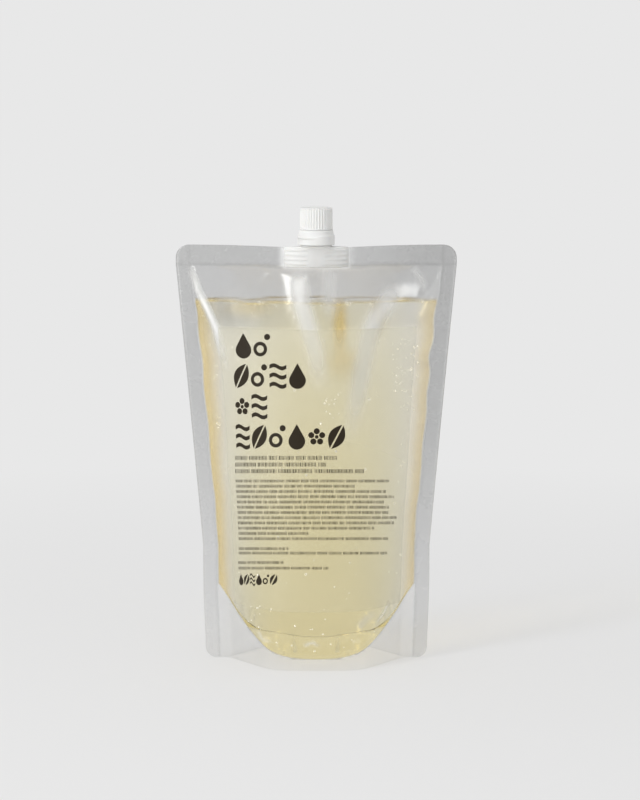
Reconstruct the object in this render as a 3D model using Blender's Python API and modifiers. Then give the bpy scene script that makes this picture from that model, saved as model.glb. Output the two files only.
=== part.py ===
# Standing refill pouch for liquid hand soap, with a welded spout and a screw cap.
# Three clear films are welded along both sides, the top and the U-shaped gusset seal.
# The front faces -Y, and the pouch stands on the floor at z = 0.
import math
from functools import lru_cache

import bmesh
import bpy

# Film pouch, in metres
FLAT_WIDTH = 0.165
POUCH_HEIGHT = 0.247
FILM_WALL = 0.00015
SIDE_SEAL = 0.0083
TOP_SEAL = 0.0116
TOP_CORNER_RADIUS = 0.0078
BOTTOM_CORNER_RADIUS = 0.0063
TOP_DROOP = 0.002
DROOP_REACH = 0.039

# How far the filled pouch swells
BULGE_ANGLE = math.radians(79)
EDGE_RELIEF = 0.5
BELLY_HEIGHT = 0.068
FOOT_ANGLE = math.radians(54)
FOOT_BLEND = 0.068

# Gusset
GUSSET_FOLD = 0.046
SKIRT_HEIGHT = 0.0066
SEAL_CURVE_POWER = 2.25
GUSSET_SLOPE = 0.2
FLOOR_SHARE = 0.8

# Main fold of each film below the spout. Its crest runs through points given as the flat
# distance from the middle and the drop below the top edge, and it spreads to both sides.
FRONT_CREST = [(-0.005, 0.011), (-0.003, 0.032), (0.000, 0.045), (0.005, 0.059), (0.012, 0.079), (0.016, 0.095)]
FRONT_FOLD_HEIGHT = 0.0042
FRONT_FOLD_LEFT = 0.015
FRONT_FOLD_RIGHT = 0.014
BACK_CREST = [(0.006, 0.011), (0.002, 0.033), (-0.006, 0.049), (-0.012, 0.063)]
BACK_FOLD_HEIGHT = 0.0036
BACK_FOLD_SPREAD = 0.013
CREST_SOFTNESS = 0.16
CREST_POWER = 1.3

# Spout fitment
BOAT_LENGTH = 0.038
BOAT_THICKNESS = 0.0120
BOAT_HEIGHT = 0.0122
BOAT_TIP = 0.0012
BOAT_RISE = 0.0008
WELD_RIB = 0.00035
WELD_RIB_COUNT = 4
FLANGE_RADIUS = 0.0092
FLANGE_THICKNESS = 0.0009
NECK_RADIUS = 0.0074
BEAD_RADIUS = 0.0088
BEAD_HEIGHT = 0.0012
BORE_RADIUS = 0.0045

# Screw cap and tamper ring
CAP_RADIUS = 0.0097
CAP_HEIGHT = 0.0128
CAP_TOP_WALL = 0.0012
CAP_SIDE_WALL = 0.0016
CAP_EDGE_RADIUS = 0.0008
RIB_DEPTH = 0.0004
RIB_COUNT = 36
RING_RADIUS = 0.0109
RING_HEIGHT = 0.0086
RING_WALL = 0.0014
RING_LIP = 0.0010
LINER_THICKNESS = 0.0008

# Label on the front film
LABEL_LEFT = 0.0587
LABEL_RIGHT = 0.0610
LABEL_DROP = 0.0478
LABEL_HEIGHT = 0.1640
LABEL_WALL = 0.0001

# Filling
HEADSPACE = 0.0337

# Clearances
GAP = 0.0003
LIQUID_GAP = 0.0008
DRAPE_GAP = 0.00025
DRAPE_RUN = 0.005

# How finely the shapes are divided
SECTION_STEPS = 60
HALF_COLUMNS = 10
BODY_ROWS = 18
CORNER_ROWS = 3
BOAT_STEPS = 10
TURN_STEPS = 36
LIQUID_ROWS = 9
FLANGE_ROWS = 5
FREE_ROWS = 4

# Sizes that follow from the ones above
half_flat = FLAT_WIDTH / 2
half_free = half_flat - SIDE_SEAL
seal_line = POUCH_HEIGHT - TOP_SEAL
liquid_level = POUCH_HEIGHT - HEADSPACE
label_top = POUCH_HEIGHT - LABEL_DROP
label_bottom = label_top - LABEL_HEIGHT
layer = FILM_WALL + GAP
boat_top = POUCH_HEIGHT - TOP_DROOP + BOAT_RISE
boat_bottom = boat_top - BOAT_HEIGHT
flange_top = boat_top + FLANGE_THICKNESS
ring_bottom = flange_top + GAP
ring_top = ring_bottom + RING_HEIGHT
cap_bottom = ring_top + GAP
cap_top = cap_bottom + CAP_HEIGHT
liner_top = cap_top - CAP_TOP_WALL - GAP
liner_bottom = liner_top - LINER_THICKNESS
neck_top = liner_bottom - GAP


def ramp(value, low, high):
    """Smooth step from 0 at low to 1 at high."""
    share = min(max((value - low) / (high - low), 0.0), 1.0)
    return share * share * (3 - 2 * share)


# The film in cross-section

def film_slope(run, z):
    """Angle of the film to the X axis at a flat distance from its middle line."""
    u = min(run / half_free, 1.0)
    reach = min(max((seal_line - z) / (seal_line - BELLY_HEIGHT), 0.0), 1.0)
    body = BULGE_ANGLE * math.sqrt(reach) * (u - EDGE_RELIEF * u ** 6)
    foot = FOOT_ANGLE * ramp(u, 0.16, 0.50) * (1 - ramp(u, 0.86, 1.0))
    standing = 1 - ramp(z, 0, FOOT_BLEND)
    return body * (1 - standing) + foot * standing


@lru_cache(maxsize=None)
def film_section(z):
    """Half-width and fall of the film along its flat width at one height."""
    step = half_free / SECTION_STEPS
    across = [0.0]
    fall = [0.0]
    for index in range(SECTION_STEPS):
        angle = film_slope((index + 0.5) * step, z)
        across.append(across[-1] + step * math.cos(angle))
        fall.append(fall[-1] + step * math.sin(angle))
    return across, fall


def between(values, place):
    """Value at a place that may lie between two entries of a list."""
    index = min(int(place), len(values) - 2)
    share = place - index
    return values[index] * (1 - share) + values[index + 1] * share


def seam_offset(z):
    """Half the distance between the two films' middles where they are welded."""
    with_gusset = 1 - ramp(z, GUSSET_FOLD, GUSSET_FOLD + SIDE_SEAL)
    return layer / 2 + layer * with_gusset


def boat_drape(x, z):
    """How far the film stands out where it is welded round the boat."""
    reach = BOAT_LENGTH / 2 + DRAPE_RUN
    share = max(1 - (x / reach) ** 2, 0.0) ** 1.5
    depth = BOAT_THICKNESS / 2 + WELD_RIB + layer + DRAPE_GAP - layer / 2
    return depth * share * ramp(z, boat_bottom - 2 * BOAT_HEIGHT, boat_bottom)


def crest_place(s, drop, crest):
    """Distance of a point from a fold's crest, negative to its left, and its share of the way down."""
    total = sum(math.dist(a, b) for a, b in zip(crest, crest[1:]))
    passed = 0.0
    best = (math.inf, 0.0, 0.0)
    for start, end in zip(crest, crest[1:]):
        length = math.dist(start, end)
        across = (end[0] - start[0]) / length
        down = (end[1] - start[1]) / length
        along = (s - start[0]) * across + (drop - start[1]) * down
        along = min(max(along, 0.0), length)
        off_s = s - start[0] - across * along
        off_drop = drop - start[1] - down * along
        distance = math.hypot(off_s, off_drop)
        if distance < best[0]:
            best = (distance, off_s * down - off_drop * across, (passed + along) / total)
        passed += length
    distance, side, share = best
    return math.copysign(distance, side), share


@lru_cache(maxsize=None)
def fold_relief(s, z, side):
    """How far the main fold stands out of the smooth film."""
    crest, height, left, right = FRONT_CREST, FRONT_FOLD_HEIGHT, FRONT_FOLD_LEFT, FRONT_FOLD_RIGHT
    if side > 0:
        crest, height, left, right = BACK_CREST, BACK_FOLD_HEIGHT, BACK_FOLD_SPREAD, BACK_FOLD_SPREAD
    distance, share = crest_place(s, POUCH_HEIGHT - z, crest)
    q = abs(distance) / (left if distance < 0 else right)
    profile = max(1 + CREST_SOFTNESS - math.hypot(q, CREST_SOFTNESS), 0.0) ** CREST_POWER
    run_out = ramp(share, -0.15, 0.12) * (1 - ramp(share, 0.5, 1.0))
    held = ramp(half_free - abs(s), 0.0, 0.003) * ramp(seal_line - z, 0.0, 0.005)
    return height * profile * run_out * held


def film_point(s, z, side, inset=0.0):
    """Point on a film: s along the flat width, side -1 front or 1 back, inset inwards."""
    run = abs(s)
    across, fall = film_section(z)
    place = min(run, half_free) / half_free * SECTION_STEPS
    x = between(across, place) + max(run - half_free, 0.0)
    swell = fall[-1] - between(fall, place)
    drape = boat_drape(x, z)
    depth = (swell ** 4 + drape ** 4) ** 0.25
    angle = film_slope(run, z) if run < half_free else 0.0
    push = fold_relief(s, z, side) - inset
    x += push * math.sin(angle)
    depth += push * math.cos(angle)
    return math.copysign(x, s), side * (depth + seam_offset(z))


def seal_height(s):
    """Height of the U-shaped gusset seal at a flat distance from the middle."""
    u = min(abs(s) / half_free, 1.0)
    return SKIRT_HEIGHT + (GUSSET_FOLD - SKIRT_HEIGHT) * u ** SEAL_CURVE_POWER


def top_droop(s, z):
    """How far the film sags beside the spout, near its top edge."""
    return TOP_DROOP * math.exp(-(s / DROOP_REACH) ** 2) * (z / POUCH_HEIGHT) ** 12


# Grid lines shared by everything that follows the film

def film_columns():
    """Flat distances of the grid's columns inside the side seals."""
    columns = []
    for index in range(-HALF_COLUMNS, HALF_COLUMNS + 1):
        u = index / HALF_COLUMNS
        columns.append(half_free * (0.82 * u + 0.18 * math.copysign(u * u, u)))
    return columns


def body_rows():
    """Heights between the rounded corners, closer together at both ends."""
    low = BOTTOM_CORNER_RADIUS
    rows = []
    for index in range(BODY_ROWS + 1):
        share = 0.5 - 0.5 * math.cos(math.pi * index / BODY_ROWS)
        rows.append(low + (seal_line - low) * share)
    return rows


def film_rows():
    """Heights of the grid's rows, with how far the corner cuts into each."""
    rows = []
    for index in range(CORNER_ROWS):
        turn = math.pi / 2 * index / CORNER_ROWS
        rows.append((BOTTOM_CORNER_RADIUS * (1 - math.cos(turn)), BOTTOM_CORNER_RADIUS * (1 - math.sin(turn))))
    for z in body_rows():
        rows.append((z, 0.0))
    for index in range(CORNER_ROWS + 1):
        turn = math.pi / 2 * index / CORNER_ROWS
        rise = TOP_CORNER_RADIUS * math.sin(turn)
        rows.append((POUCH_HEIGHT - TOP_CORNER_RADIUS + rise, TOP_CORNER_RADIUS * (1 - math.cos(turn))))
    return rows


# Scene set-up and small helpers

def clear_scene():
    for item in list(bpy.data.objects):
        bpy.data.objects.remove(item, do_unlink=True)


def make_collection(name):
    collection = bpy.data.collections.new(name)
    bpy.context.scene.collection.children.link(collection)
    return collection


def make_material(name, color, roughness, alpha=1.0):
    material = bpy.data.materials.new(name)
    material.use_nodes = True
    shader = material.node_tree.nodes["Principled BSDF"]
    shader.inputs["Base Color"].default_value = (*color, 1.0)
    shader.inputs["Roughness"].default_value = roughness
    shader.inputs["Metallic"].default_value = 0.0
    shader.inputs["Alpha"].default_value = alpha
    return material


def make_object(name, mesh_builder, material, collection):
    """Object from a bmesh, with its material."""
    mesh = bpy.data.meshes.new(name)
    mesh_builder.to_mesh(mesh)
    mesh_builder.free()
    mesh.materials.append(material)
    item = bpy.data.objects.new(name, mesh)
    collection.objects.link(item)
    return item


def grid_surface(rows, columns, place):
    """Grid whose vertex at each row and column is put where place says."""
    shape = bmesh.new()
    across = len(columns) - 1
    up = len(rows) - 1
    bmesh.ops.create_grid(shape, x_segments=across, y_segments=up, size=1.0)
    for vert in shape.verts:
        column = columns[round((vert.co.x + 1) / 2 * across)]
        row = rows[round((vert.co.y + 1) / 2 * up)]
        vert.co = place(row, column)
    return shape


def add_wall(item, thickness):
    solidify = item.modifiers.new("wall", "SOLIDIFY")
    solidify.thickness = thickness
    solidify.offset = 0.0


def smooth(item, degrees=40):
    item.data.shade_smooth()
    item.data.set_sharp_from_angle(angle=math.radians(degrees))


def add_boolean(item, cutter, operation):
    cut = item.modifiers.new(cutter.name, "BOOLEAN")
    cut.operation = operation
    cut.object = cutter
    cutter.hide_render = True
    cutter.display_type = "WIRE"


# Films

def make_film(name, side, material, collection):
    columns = [-half_flat] + film_columns() + [half_flat]

    def place(row, s):
        z, cut = row
        if abs(s) > half_free:
            s = math.copysign(half_flat - cut, s)
        x, y = film_point(s, z, side)
        return x, y, z - top_droop(s, z)

    film = make_object(name, grid_surface(film_rows(), columns, place), material, collection)
    add_wall(film, FILM_WALL)
    smooth(film)
    return film


def gusset_sag(s):
    """Height of the gusset's middle line, which hangs a little under the weight of the filling."""
    seal = seal_height(s)
    depth = abs(film_point(s, seal, 1)[1])
    free = GUSSET_FOLD - seal
    drop = math.sqrt(max(free * free - depth * depth, 0.0))
    return max(seal - min(drop, GUSSET_SLOPE * depth), FILM_WALL / 2)


def gusset_height(s, share):
    """Height of the gusset at a share of the way from the seal to its middle, which lies flat."""
    seal = seal_height(s)
    return seal - (seal - gusset_sag(s)) * min(share / FLOOR_SHARE, 1.0)


def make_gusset(material, collection):
    edge = half_free - GAP
    columns = [min(max(s, -edge), edge) for s in film_columns()]
    half = [("flange", index / FLANGE_ROWS) for index in range(FLANGE_ROWS + 1)]
    half += [("free", FLOOR_SHARE * index / FREE_ROWS) for index in range(FREE_ROWS + 1)]
    half.append(("free", (1 + FLOOR_SHARE) / 2))
    rows = [(-1, *entry) for entry in half]
    rows.append((1, "free", 1.0))
    rows += [(1, *entry) for entry in reversed(half)]

    def place(row, s):
        side, part, share = row
        seal = seal_height(s)
        if part == "flange":
            z = FILM_WALL + (seal - FILM_WALL) * share
            x, y = film_point(s, z, side, layer)
            return x, y, z
        x, y = film_point(s, seal, side, 2 * layer)
        return x, y * (1 - share), gusset_height(s, share)

    gusset = make_object("base_gusset", grid_surface(rows, columns, place), material, collection)
    add_wall(gusset, FILM_WALL)
    smooth(gusset)
    return gusset


def make_label(material, collection):
    columns = [s for s in film_columns() if -LABEL_LEFT < s < LABEL_RIGHT]
    columns = [-LABEL_LEFT] + columns + [LABEL_RIGHT]
    rows = [z for z in body_rows() if label_bottom < z < label_top]
    rows = [label_bottom] + rows + [label_top]
    lift = FILM_WALL / 2 + GAP + LABEL_WALL / 2

    def place(z, s):
        x, y = film_point(s, z, -1, -lift)
        return x, y, z - top_droop(s, z)

    label = make_object("front_label", grid_surface(rows, columns, place), material, collection)
    add_wall(label, LABEL_WALL)
    smooth(label)
    return label


# Filling

def liquid_ring(s):
    """Closed loop round the liquid at one flat distance from the middle."""
    inset = FILM_WALL / 2 + LIQUID_GAP
    seal = seal_height(s) + 2 * LIQUID_GAP
    loop = []
    for side in (-1, 1):
        wall = []
        for index in range(LIQUID_ROWS + 1):
            share = index / LIQUID_ROWS
            z = seal + (liquid_level - seal) * share
            x, y = film_point(s, z, side, inset)
            wall.append((x, side * max(abs(y), LIQUID_GAP / 2), z))
        loop += wall if side < 0 else list(reversed(wall))
    for index in range(2 * LIQUID_ROWS - 1, 0, -1):
        place = index / LIQUID_ROWS - 1
        x, y = film_point(s, seal, 1, 2 * layer + LIQUID_GAP)
        z = gusset_height(s, 1 - abs(place)) + 2 * LIQUID_GAP
        loop.append((x, y * place, z))
    return loop


def make_liquid(material, collection):
    reach = half_free - 4 * LIQUID_GAP
    columns = [s for s in film_columns() if abs(s) < reach - LIQUID_GAP]
    columns = [-reach] + columns + [reach]
    shape = bmesh.new()
    loops = []
    for s in columns:
        loops.append([shape.verts.new(point) for point in liquid_ring(s)])
    count = len(loops[0])
    for left, right in zip(loops, loops[1:]):
        for index in range(count):
            after = (index + 1) % count
            shape.faces.new((left[index], left[after], right[after], right[index]))
    shape.faces.new(loops[0])
    shape.faces.new(loops[-1])
    bmesh.ops.recalc_face_normals(shape, faces=shape.faces)
    liquid = make_object("liquid_soap", shape, material, collection)
    smooth(liquid)
    return liquid


# Spout, ring and cap

def turned(name, profile, material, collection):
    """Round solid from a profile of (radius, height), run from the top down its outside."""
    shape = bmesh.new()
    points = [shape.verts.new((radius, 0.0, height)) for radius, height in profile]
    for first, second in zip(points, points[1:]):
        shape.edges.new((first, second))
    if profile[0][0] > 0:
        shape.edges.new((points[-1], points[0]))
    item = make_object(name, shape, material, collection)
    screw = item.modifiers.new("turn", "SCREW")
    screw.axis = "Z"
    screw.steps = TURN_STEPS
    screw.render_steps = TURN_STEPS
    screw.use_merge_vertices = True
    screw.merge_threshold = 0.00001
    screw.use_normal_calculate = True
    return item


def boat_outline(extra):
    """Pointed oval of the boat, seen from above."""
    half_length = BOAT_LENGTH / 2
    points = []
    for side in (-1, 1):
        for index in range(BOAT_STEPS + 1):
            x = side * half_length * math.cos(math.pi * index / BOAT_STEPS)
            belly = (BOAT_THICKNESS - BOAT_TIP) / 2 * (1 - (x / half_length) ** 2)
            points.append((x, side * (BOAT_TIP / 2 + belly + extra)))
    return points


def make_boat(material, collection):
    """Weld insert with its horizontal weld ribs, as a stack of outlines."""
    pitch = BOAT_HEIGHT / (WELD_RIB_COUNT + 0.5)
    levels = [(boat_bottom, 0.0)]
    for index in range(WELD_RIB_COUNT):
        low = boat_bottom + pitch * (index + 0.5)
        levels.append((low, 0.0))
        levels.append((low + 0.15 * pitch, WELD_RIB))
        levels.append((low + 0.40 * pitch, WELD_RIB))
        levels.append((low + 0.55 * pitch, 0.0))
    levels.append((boat_top, 0.0))
    shape = bmesh.new()
    loops = []
    for z, extra in levels:
        loops.append([shape.verts.new((x, y, z)) for x, y in boat_outline(extra)])
    count = len(loops[0])
    for low, high in zip(loops, loops[1:]):
        for index in range(count):
            after = (index + 1) % count
            shape.faces.new((low[index], low[after], high[after], high[index]))
    shape.faces.new(loops[0])
    shape.faces.new(loops[-1])
    bmesh.ops.recalc_face_normals(shape, faces=shape.faces)
    return make_object("spout", shape, material, collection)


def make_spout(material, collection, cutters):
    spout = make_boat(material, collection)
    root = boat_top - BOAT_HEIGHT / 4
    bead_low = ring_bottom + RING_HEIGHT / 2
    bead_high = bead_low + BEAD_HEIGHT
    step = BEAD_RADIUS - NECK_RADIUS
    profile = [
        (0.0, neck_top),
        (NECK_RADIUS - RIB_DEPTH, neck_top),
        (NECK_RADIUS, neck_top - RIB_DEPTH),
        (NECK_RADIUS, bead_high + step / 2),
        (BEAD_RADIUS, bead_high),
        (BEAD_RADIUS, bead_low),
        (NECK_RADIUS, bead_low),
        (NECK_RADIUS, flange_top),
        (FLANGE_RADIUS, flange_top),
        (FLANGE_RADIUS, boat_top),
        (BOAT_THICKNESS / 2 - RIB_DEPTH, boat_top),
        (BOAT_THICKNESS / 2 - RIB_DEPTH, root),
        (0.0, root),
    ]
    neck = turned("neck_blank", profile, material, cutters)
    margin = BOAT_HEIGHT / 2
    bpy.ops.mesh.primitive_cylinder_add(
        vertices=TURN_STEPS,
        radius=BORE_RADIUS,
        depth=neck_top - boat_bottom + 2 * margin,
        location=(0, 0, (neck_top + boat_bottom) / 2),
    )
    bore = bpy.context.active_object
    bore.name = "bore_cutter"
    for collection_in_use in list(bore.users_collection):
        collection_in_use.objects.unlink(bore)
    cutters.objects.link(bore)
    add_boolean(spout, neck, "UNION")
    add_boolean(spout, bore, "DIFFERENCE")
    return spout


def make_tamper_ring(material, collection):
    inner = RING_RADIUS - RING_WALL
    lip = NECK_RADIUS + 2 * GAP
    lip_low = ring_bottom + RING_HEIGHT / 4
    profile = [
        (CAP_RADIUS - RIB_DEPTH, ring_top),
        (CAP_RADIUS + RIB_DEPTH, ring_top - RIB_DEPTH),
        (RING_RADIUS, ring_top - RING_HEIGHT / 3),
        (RING_RADIUS, ring_bottom + RIB_DEPTH),
        (RING_RADIUS - RIB_DEPTH, ring_bottom),
        (inner, ring_bottom),
        (inner, lip_low - RING_LIP / 2),
        (lip, lip_low),
        (lip, lip_low + RING_LIP),
        (BEAD_RADIUS + GAP, lip_low + 1.5 * RING_LIP),
        (BEAD_RADIUS + GAP, ring_top),
    ]
    ring = turned("tamper_ring", profile, material, collection)
    smooth(ring)
    return ring


def make_cap(material, collection):
    """Hollow cap with a ribbed side, spun from its profile."""
    steps = 2 * RIB_COUNT
    inner = CAP_RADIUS - CAP_SIDE_WALL
    edge = CAP_EDGE_RADIUS
    profile = [
        (0.0, cap_top),
        (CAP_RADIUS - edge, cap_top),
        (CAP_RADIUS - 0.3 * edge, cap_top - 0.3 * edge),
        (CAP_RADIUS, cap_top - edge),
        (CAP_RADIUS, cap_bottom + edge),
        (CAP_RADIUS - RIB_DEPTH, cap_bottom),
        (inner, cap_bottom),
        (inner, cap_top - CAP_TOP_WALL),
        (0.0, cap_top - CAP_TOP_WALL),
    ]
    shape = bmesh.new()
    points = [shape.verts.new((radius, 0.0, height)) for radius, height in profile]
    edges = [shape.edges.new(pair) for pair in zip(points, points[1:])]
    bmesh.ops.spin(
        shape,
        geom=points + edges,
        axis=(0, 0, 1),
        cent=(0, 0, 0),
        angle=2 * math.pi,
        steps=steps,
        use_merge=True,
    )
    bmesh.ops.remove_doubles(shape, verts=shape.verts, dist=0.000001)
    for vert in shape.verts:
        radius = math.hypot(vert.co.x, vert.co.y)
        place = round(math.atan2(vert.co.y, vert.co.x) / (2 * math.pi) * steps)
        if radius > CAP_RADIUS - RIB_DEPTH / 2 and place % 2:
            vert.co.x *= 1 - RIB_DEPTH / CAP_RADIUS
            vert.co.y *= 1 - RIB_DEPTH / CAP_RADIUS
    bmesh.ops.recalc_face_normals(shape, faces=shape.faces)
    return make_object("screw_cap", shape, material, collection)


def make_liner(material, collection):
    bpy.ops.mesh.primitive_cylinder_add(
        vertices=TURN_STEPS,
        radius=CAP_RADIUS - CAP_SIDE_WALL - GAP,
        depth=LINER_THICKNESS,
        location=(0, 0, (liner_top + liner_bottom) / 2),
    )
    liner = bpy.context.active_object
    liner.name = "cap_liner"
    liner.data.materials.append(material)
    for collection_in_use in list(liner.users_collection):
        collection_in_use.objects.unlink(liner)
    collection.objects.link(liner)
    return liner


def main():
    clear_scene()
    parts = make_collection("soap_refill_pouch")
    cutters = make_collection("cutters")
    film = make_material("clear_film", (0.80, 0.81, 0.80), 0.12, 0.35)
    frosted = make_material("frosted_label", (0.86, 0.85, 0.80), 0.45, 0.6)
    white = make_material("white_plastic", (0.88, 0.88, 0.86), 0.38)
    foam = make_material("liner_foam", (0.90, 0.90, 0.88), 0.7)
    soap = make_material("pale_yellow_soap", (0.86, 0.74, 0.42), 0.05, 0.7)
    make_film("front_film", -1, film, parts)
    make_film("back_film", 1, film, parts)
    make_gusset(film, parts)
    make_label(frosted, parts)
    make_liquid(soap, parts)
    make_spout(white, parts, cutters)
    make_tamper_ring(white, parts)
    make_cap(white, parts)
    make_liner(foam, parts)


main()
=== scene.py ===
import math
import random

import bmesh
import bpy
import numpy as np
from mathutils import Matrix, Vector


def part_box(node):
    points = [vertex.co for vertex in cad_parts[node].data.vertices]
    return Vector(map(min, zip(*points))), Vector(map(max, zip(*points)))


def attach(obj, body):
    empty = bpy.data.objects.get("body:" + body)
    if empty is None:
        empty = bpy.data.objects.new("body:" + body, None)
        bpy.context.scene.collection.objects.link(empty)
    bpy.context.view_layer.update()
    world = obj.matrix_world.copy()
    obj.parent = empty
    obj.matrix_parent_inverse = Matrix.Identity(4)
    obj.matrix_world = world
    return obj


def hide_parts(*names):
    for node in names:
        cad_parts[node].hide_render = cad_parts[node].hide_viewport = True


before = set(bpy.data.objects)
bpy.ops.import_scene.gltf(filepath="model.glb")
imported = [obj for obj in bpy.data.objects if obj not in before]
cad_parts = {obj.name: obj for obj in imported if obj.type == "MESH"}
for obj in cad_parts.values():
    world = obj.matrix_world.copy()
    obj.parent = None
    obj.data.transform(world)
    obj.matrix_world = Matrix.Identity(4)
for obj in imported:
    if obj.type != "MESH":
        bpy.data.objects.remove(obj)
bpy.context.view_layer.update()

mm = 0.001

# The pouch as it stands: x to the right, front towards -y, lengths in metres
pouch = {
    "flatWidth": 165 * mm,
    "height": 247 * mm,
    "wall": 0.15 * mm,
    "sideSeal": 8.3 * mm,
    "topSeal": 11.6 * mm,
    "topCorner": 7.8 * mm,
    "bottomCorner": 6.3 * mm,
    "droop": 2.0 * mm,
    "droopReach": 39 * mm,
    "bulge": math.radians(79),
    "edgeRelief": 0.5,
    "belly": 68 * mm,
    "foot": math.radians(54),
    "footBlend": 68 * mm,
    "fold": 46 * mm,
    "skirt": 6.6 * mm,
    "sealPower": 2.25,
    "gussetSlope": 0.2,
    "floorShare": 0.8,
    "gap": 0.3 * mm,
    "level": 213.3 * mm,
    "pinchFrom": 0.45,
}
halfFree = pouch["flatWidth"] / 2 - pouch["sideSeal"]
sealLine = pouch["height"] - pouch["topSeal"]
layer = pouch["wall"] + pouch["gap"]

# The parts of the spout, from the frame
spoutLow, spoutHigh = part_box("spout")
ringLow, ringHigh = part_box("tamper_ring")
capLow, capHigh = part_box("screw_cap")
capRadius = (capHigh.x - capLow.x) / 2


def ramp(value, low, high):
    share = np.clip((value - low) / (high - low), 0.0, 1.0)
    return share * share * (3 - 2 * share)


# Film shape


def filmSlope(u, z):
    # angle of the film to the x axis, u being 0 in the middle and 1 at the side seal
    reach = np.clip((sealLine - z) / (sealLine - pouch["belly"]), 0.0, 1.0)
    body = pouch["bulge"] * np.sqrt(reach) * (u - pouch["edgeRelief"] * u ** 6)
    foot = pouch["foot"] * ramp(u, 0.16, 0.50) * (1 - ramp(u, 0.86, 1.0))
    standing = 1 - ramp(z, 0, pouch["footBlend"])
    return body * (1 - standing) + foot * standing


def sectionTables(rows=600, steps=240):
    # how far the film runs across and falls back, for every height and flat distance
    z = np.linspace(0, pouch["height"], rows)[:, None]
    u = (np.arange(steps) + 0.5)[None, :] / steps
    angle = filmSlope(u, z)
    step = halfFree / steps
    start = np.zeros((rows, 1))
    across = np.hstack([start, np.cumsum(np.cos(angle), axis=1) * step])
    fall = np.hstack([start, np.cumsum(np.sin(angle), axis=1) * step])
    return across, fall[:, -1:] - fall


acrossTable, swellTable = sectionTables()


def lookUp(table, u, z):
    rows, columns = table.shape
    row = np.clip(z / pouch["height"], 0, 1) * (rows - 1)
    column = np.clip(u, 0, 1) * (columns - 1)
    r = np.minimum(row.astype(int), rows - 2)
    c = np.minimum(column.astype(int), columns - 2)
    a = row - r
    b = column - c
    low = table[r, c] * (1 - b) + table[r, c + 1] * b
    high = table[r + 1, c] * (1 - b) + table[r + 1, c + 1] * b
    return low * (1 - a) + high * a


# Where the side seal is squeezed wider, as (side, height, width, depth) in mm
pinches = [
    (1, 204, 8, 1.1), (1, 181, 7, 1.9), (1, 160, 8, 0.9), (1, 128, 10, 0.6), (1, 88, 10, 0.8),
    (-1, 206, 8, 0.6), (-1, 178, 9, 0.9), (-1, 140, 12, 0.7), (-1, 96, 10, 0.6),
]

# Folds as (flat distance, height) paths in mm, with the height of the crest
# and how far it spreads to the left and right of the path
mainFolds = {
    -1: [
        {
            "path": [(-5, 236), (-3, 215), (0, 202), (5, 188), (12, 168), (16, 152)],
            "crest": 4.2, "left": 15, "right": 14,
        },
        {
            "path": [(-76, 240), (-71, 224), (-64, 204), (-57, 184), (-53, 160)],
            "crest": 2.4, "left": 9, "right": 9, "soft": 0.8,
        },
    ],
    1: [
        {"path": [(6, 236), (2, 214), (-6, 198), (-12, 184)], "crest": 3.6, "left": 13, "right": 13},
        {"path": [(-76, 233), (-66, 210), (-58, 186)], "crest": 1.0, "left": 5, "right": 9},
        {"path": [(76, 233), (67, 212), (60, 188)], "crest": 0.9, "left": 9, "right": 5},
    ],
}
fineFolds = {
    -1: [
        {"path": [(74, 234), (68, 222), (61, 212)], "crest": 1.1, "left": 4, "right": 3},
        {"path": [(-25, 232), (-31, 226), (-37, 220)], "crest": 0.4, "left": 3, "right": 3},
        {"path": [(14, 11), (28, 16), (44, 26)], "crest": 1.2, "left": 4, "right": 4},
        {"path": [(-47, 24), (-36, 19), (-24, 17)], "crest": 0.7, "left": 4, "right": 4},
    ],
    1: [{"path": [(30, 14), (44, 24)], "crest": 0.9, "left": 4, "right": 4}],
}
# How round a crest is, how steep its sides are, and the shares of the path where it rises and ends
foldShape = {"soft": 0.16, "power": 1.3, "start": (-0.15, 0.12), "end": (0.5, 1.0)}
# Short folds at the bottom seal, in mm
crinkles = {
    "count": 26,
    "reach": 58,
    "lean": 0.5,
    "fan": 0.006,
    "length": (6, 15),
    "crest": (0.2, 0.7),
    "width": (2.0, 3.6),
    "soft": 0.3,
}
# Wave lengths in mm, and how high the waves stand as a share of their length
ripples = {
    "atSeam": (7.5, 11.0, 17.0),
    "seamRise": 0.008,
    "allOver": (26.0, 41.0, 63.0),
    "slowRise": 0.0022,
    "phases": 6.28,
}
# How near the seals the film lies flat, and how far a fold may sink
foldHold = {"side": 3 * mm, "top": 5 * mm, "bottom": (-2 * mm, 4 * mm), "deepest": 0.75}


def pinchDepth(s, z):
    total = np.zeros_like(z)
    for side, height, width, depth in pinches:
        near = np.exp(-((z / mm - height) / width) ** 2)
        total = total + np.where(np.sign(s) == side, near * depth * mm, 0.0)
    return total


def distanceToPath(s, z, path):
    # signed distance to a path of points, negative to its left, and the share of the way along it
    best = np.full(s.shape, 1e9)
    signed = np.zeros_like(s)
    along = np.zeros_like(s)
    lengths = [math.dist(a, b) for a, b in zip(path, path[1:])]
    total = sum(lengths)
    before = 0.0
    for (a, b), length in zip(zip(path, path[1:]), lengths):
        dx = (b[0] - a[0]) / length
        dz = (b[1] - a[1]) / length
        raw = (s - a[0]) * dx + (z - a[1]) * dz
        t = np.clip(raw, 0, length)
        ox = s - (a[0] + dx * t)
        oz = z - (a[1] + dz * t)
        distance = np.hypot(ox, oz)
        nearer = distance < best
        best = np.where(nearer, distance, best)
        signed = np.where(nearer, np.sign(ox * -dz + oz * dx) * np.sign(-dz + 1e-9), signed)
        along = np.where(nearer, (before + t) / total, along)
        before += length
    return best * np.where(signed == 0, 1.0, signed), along


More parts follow.
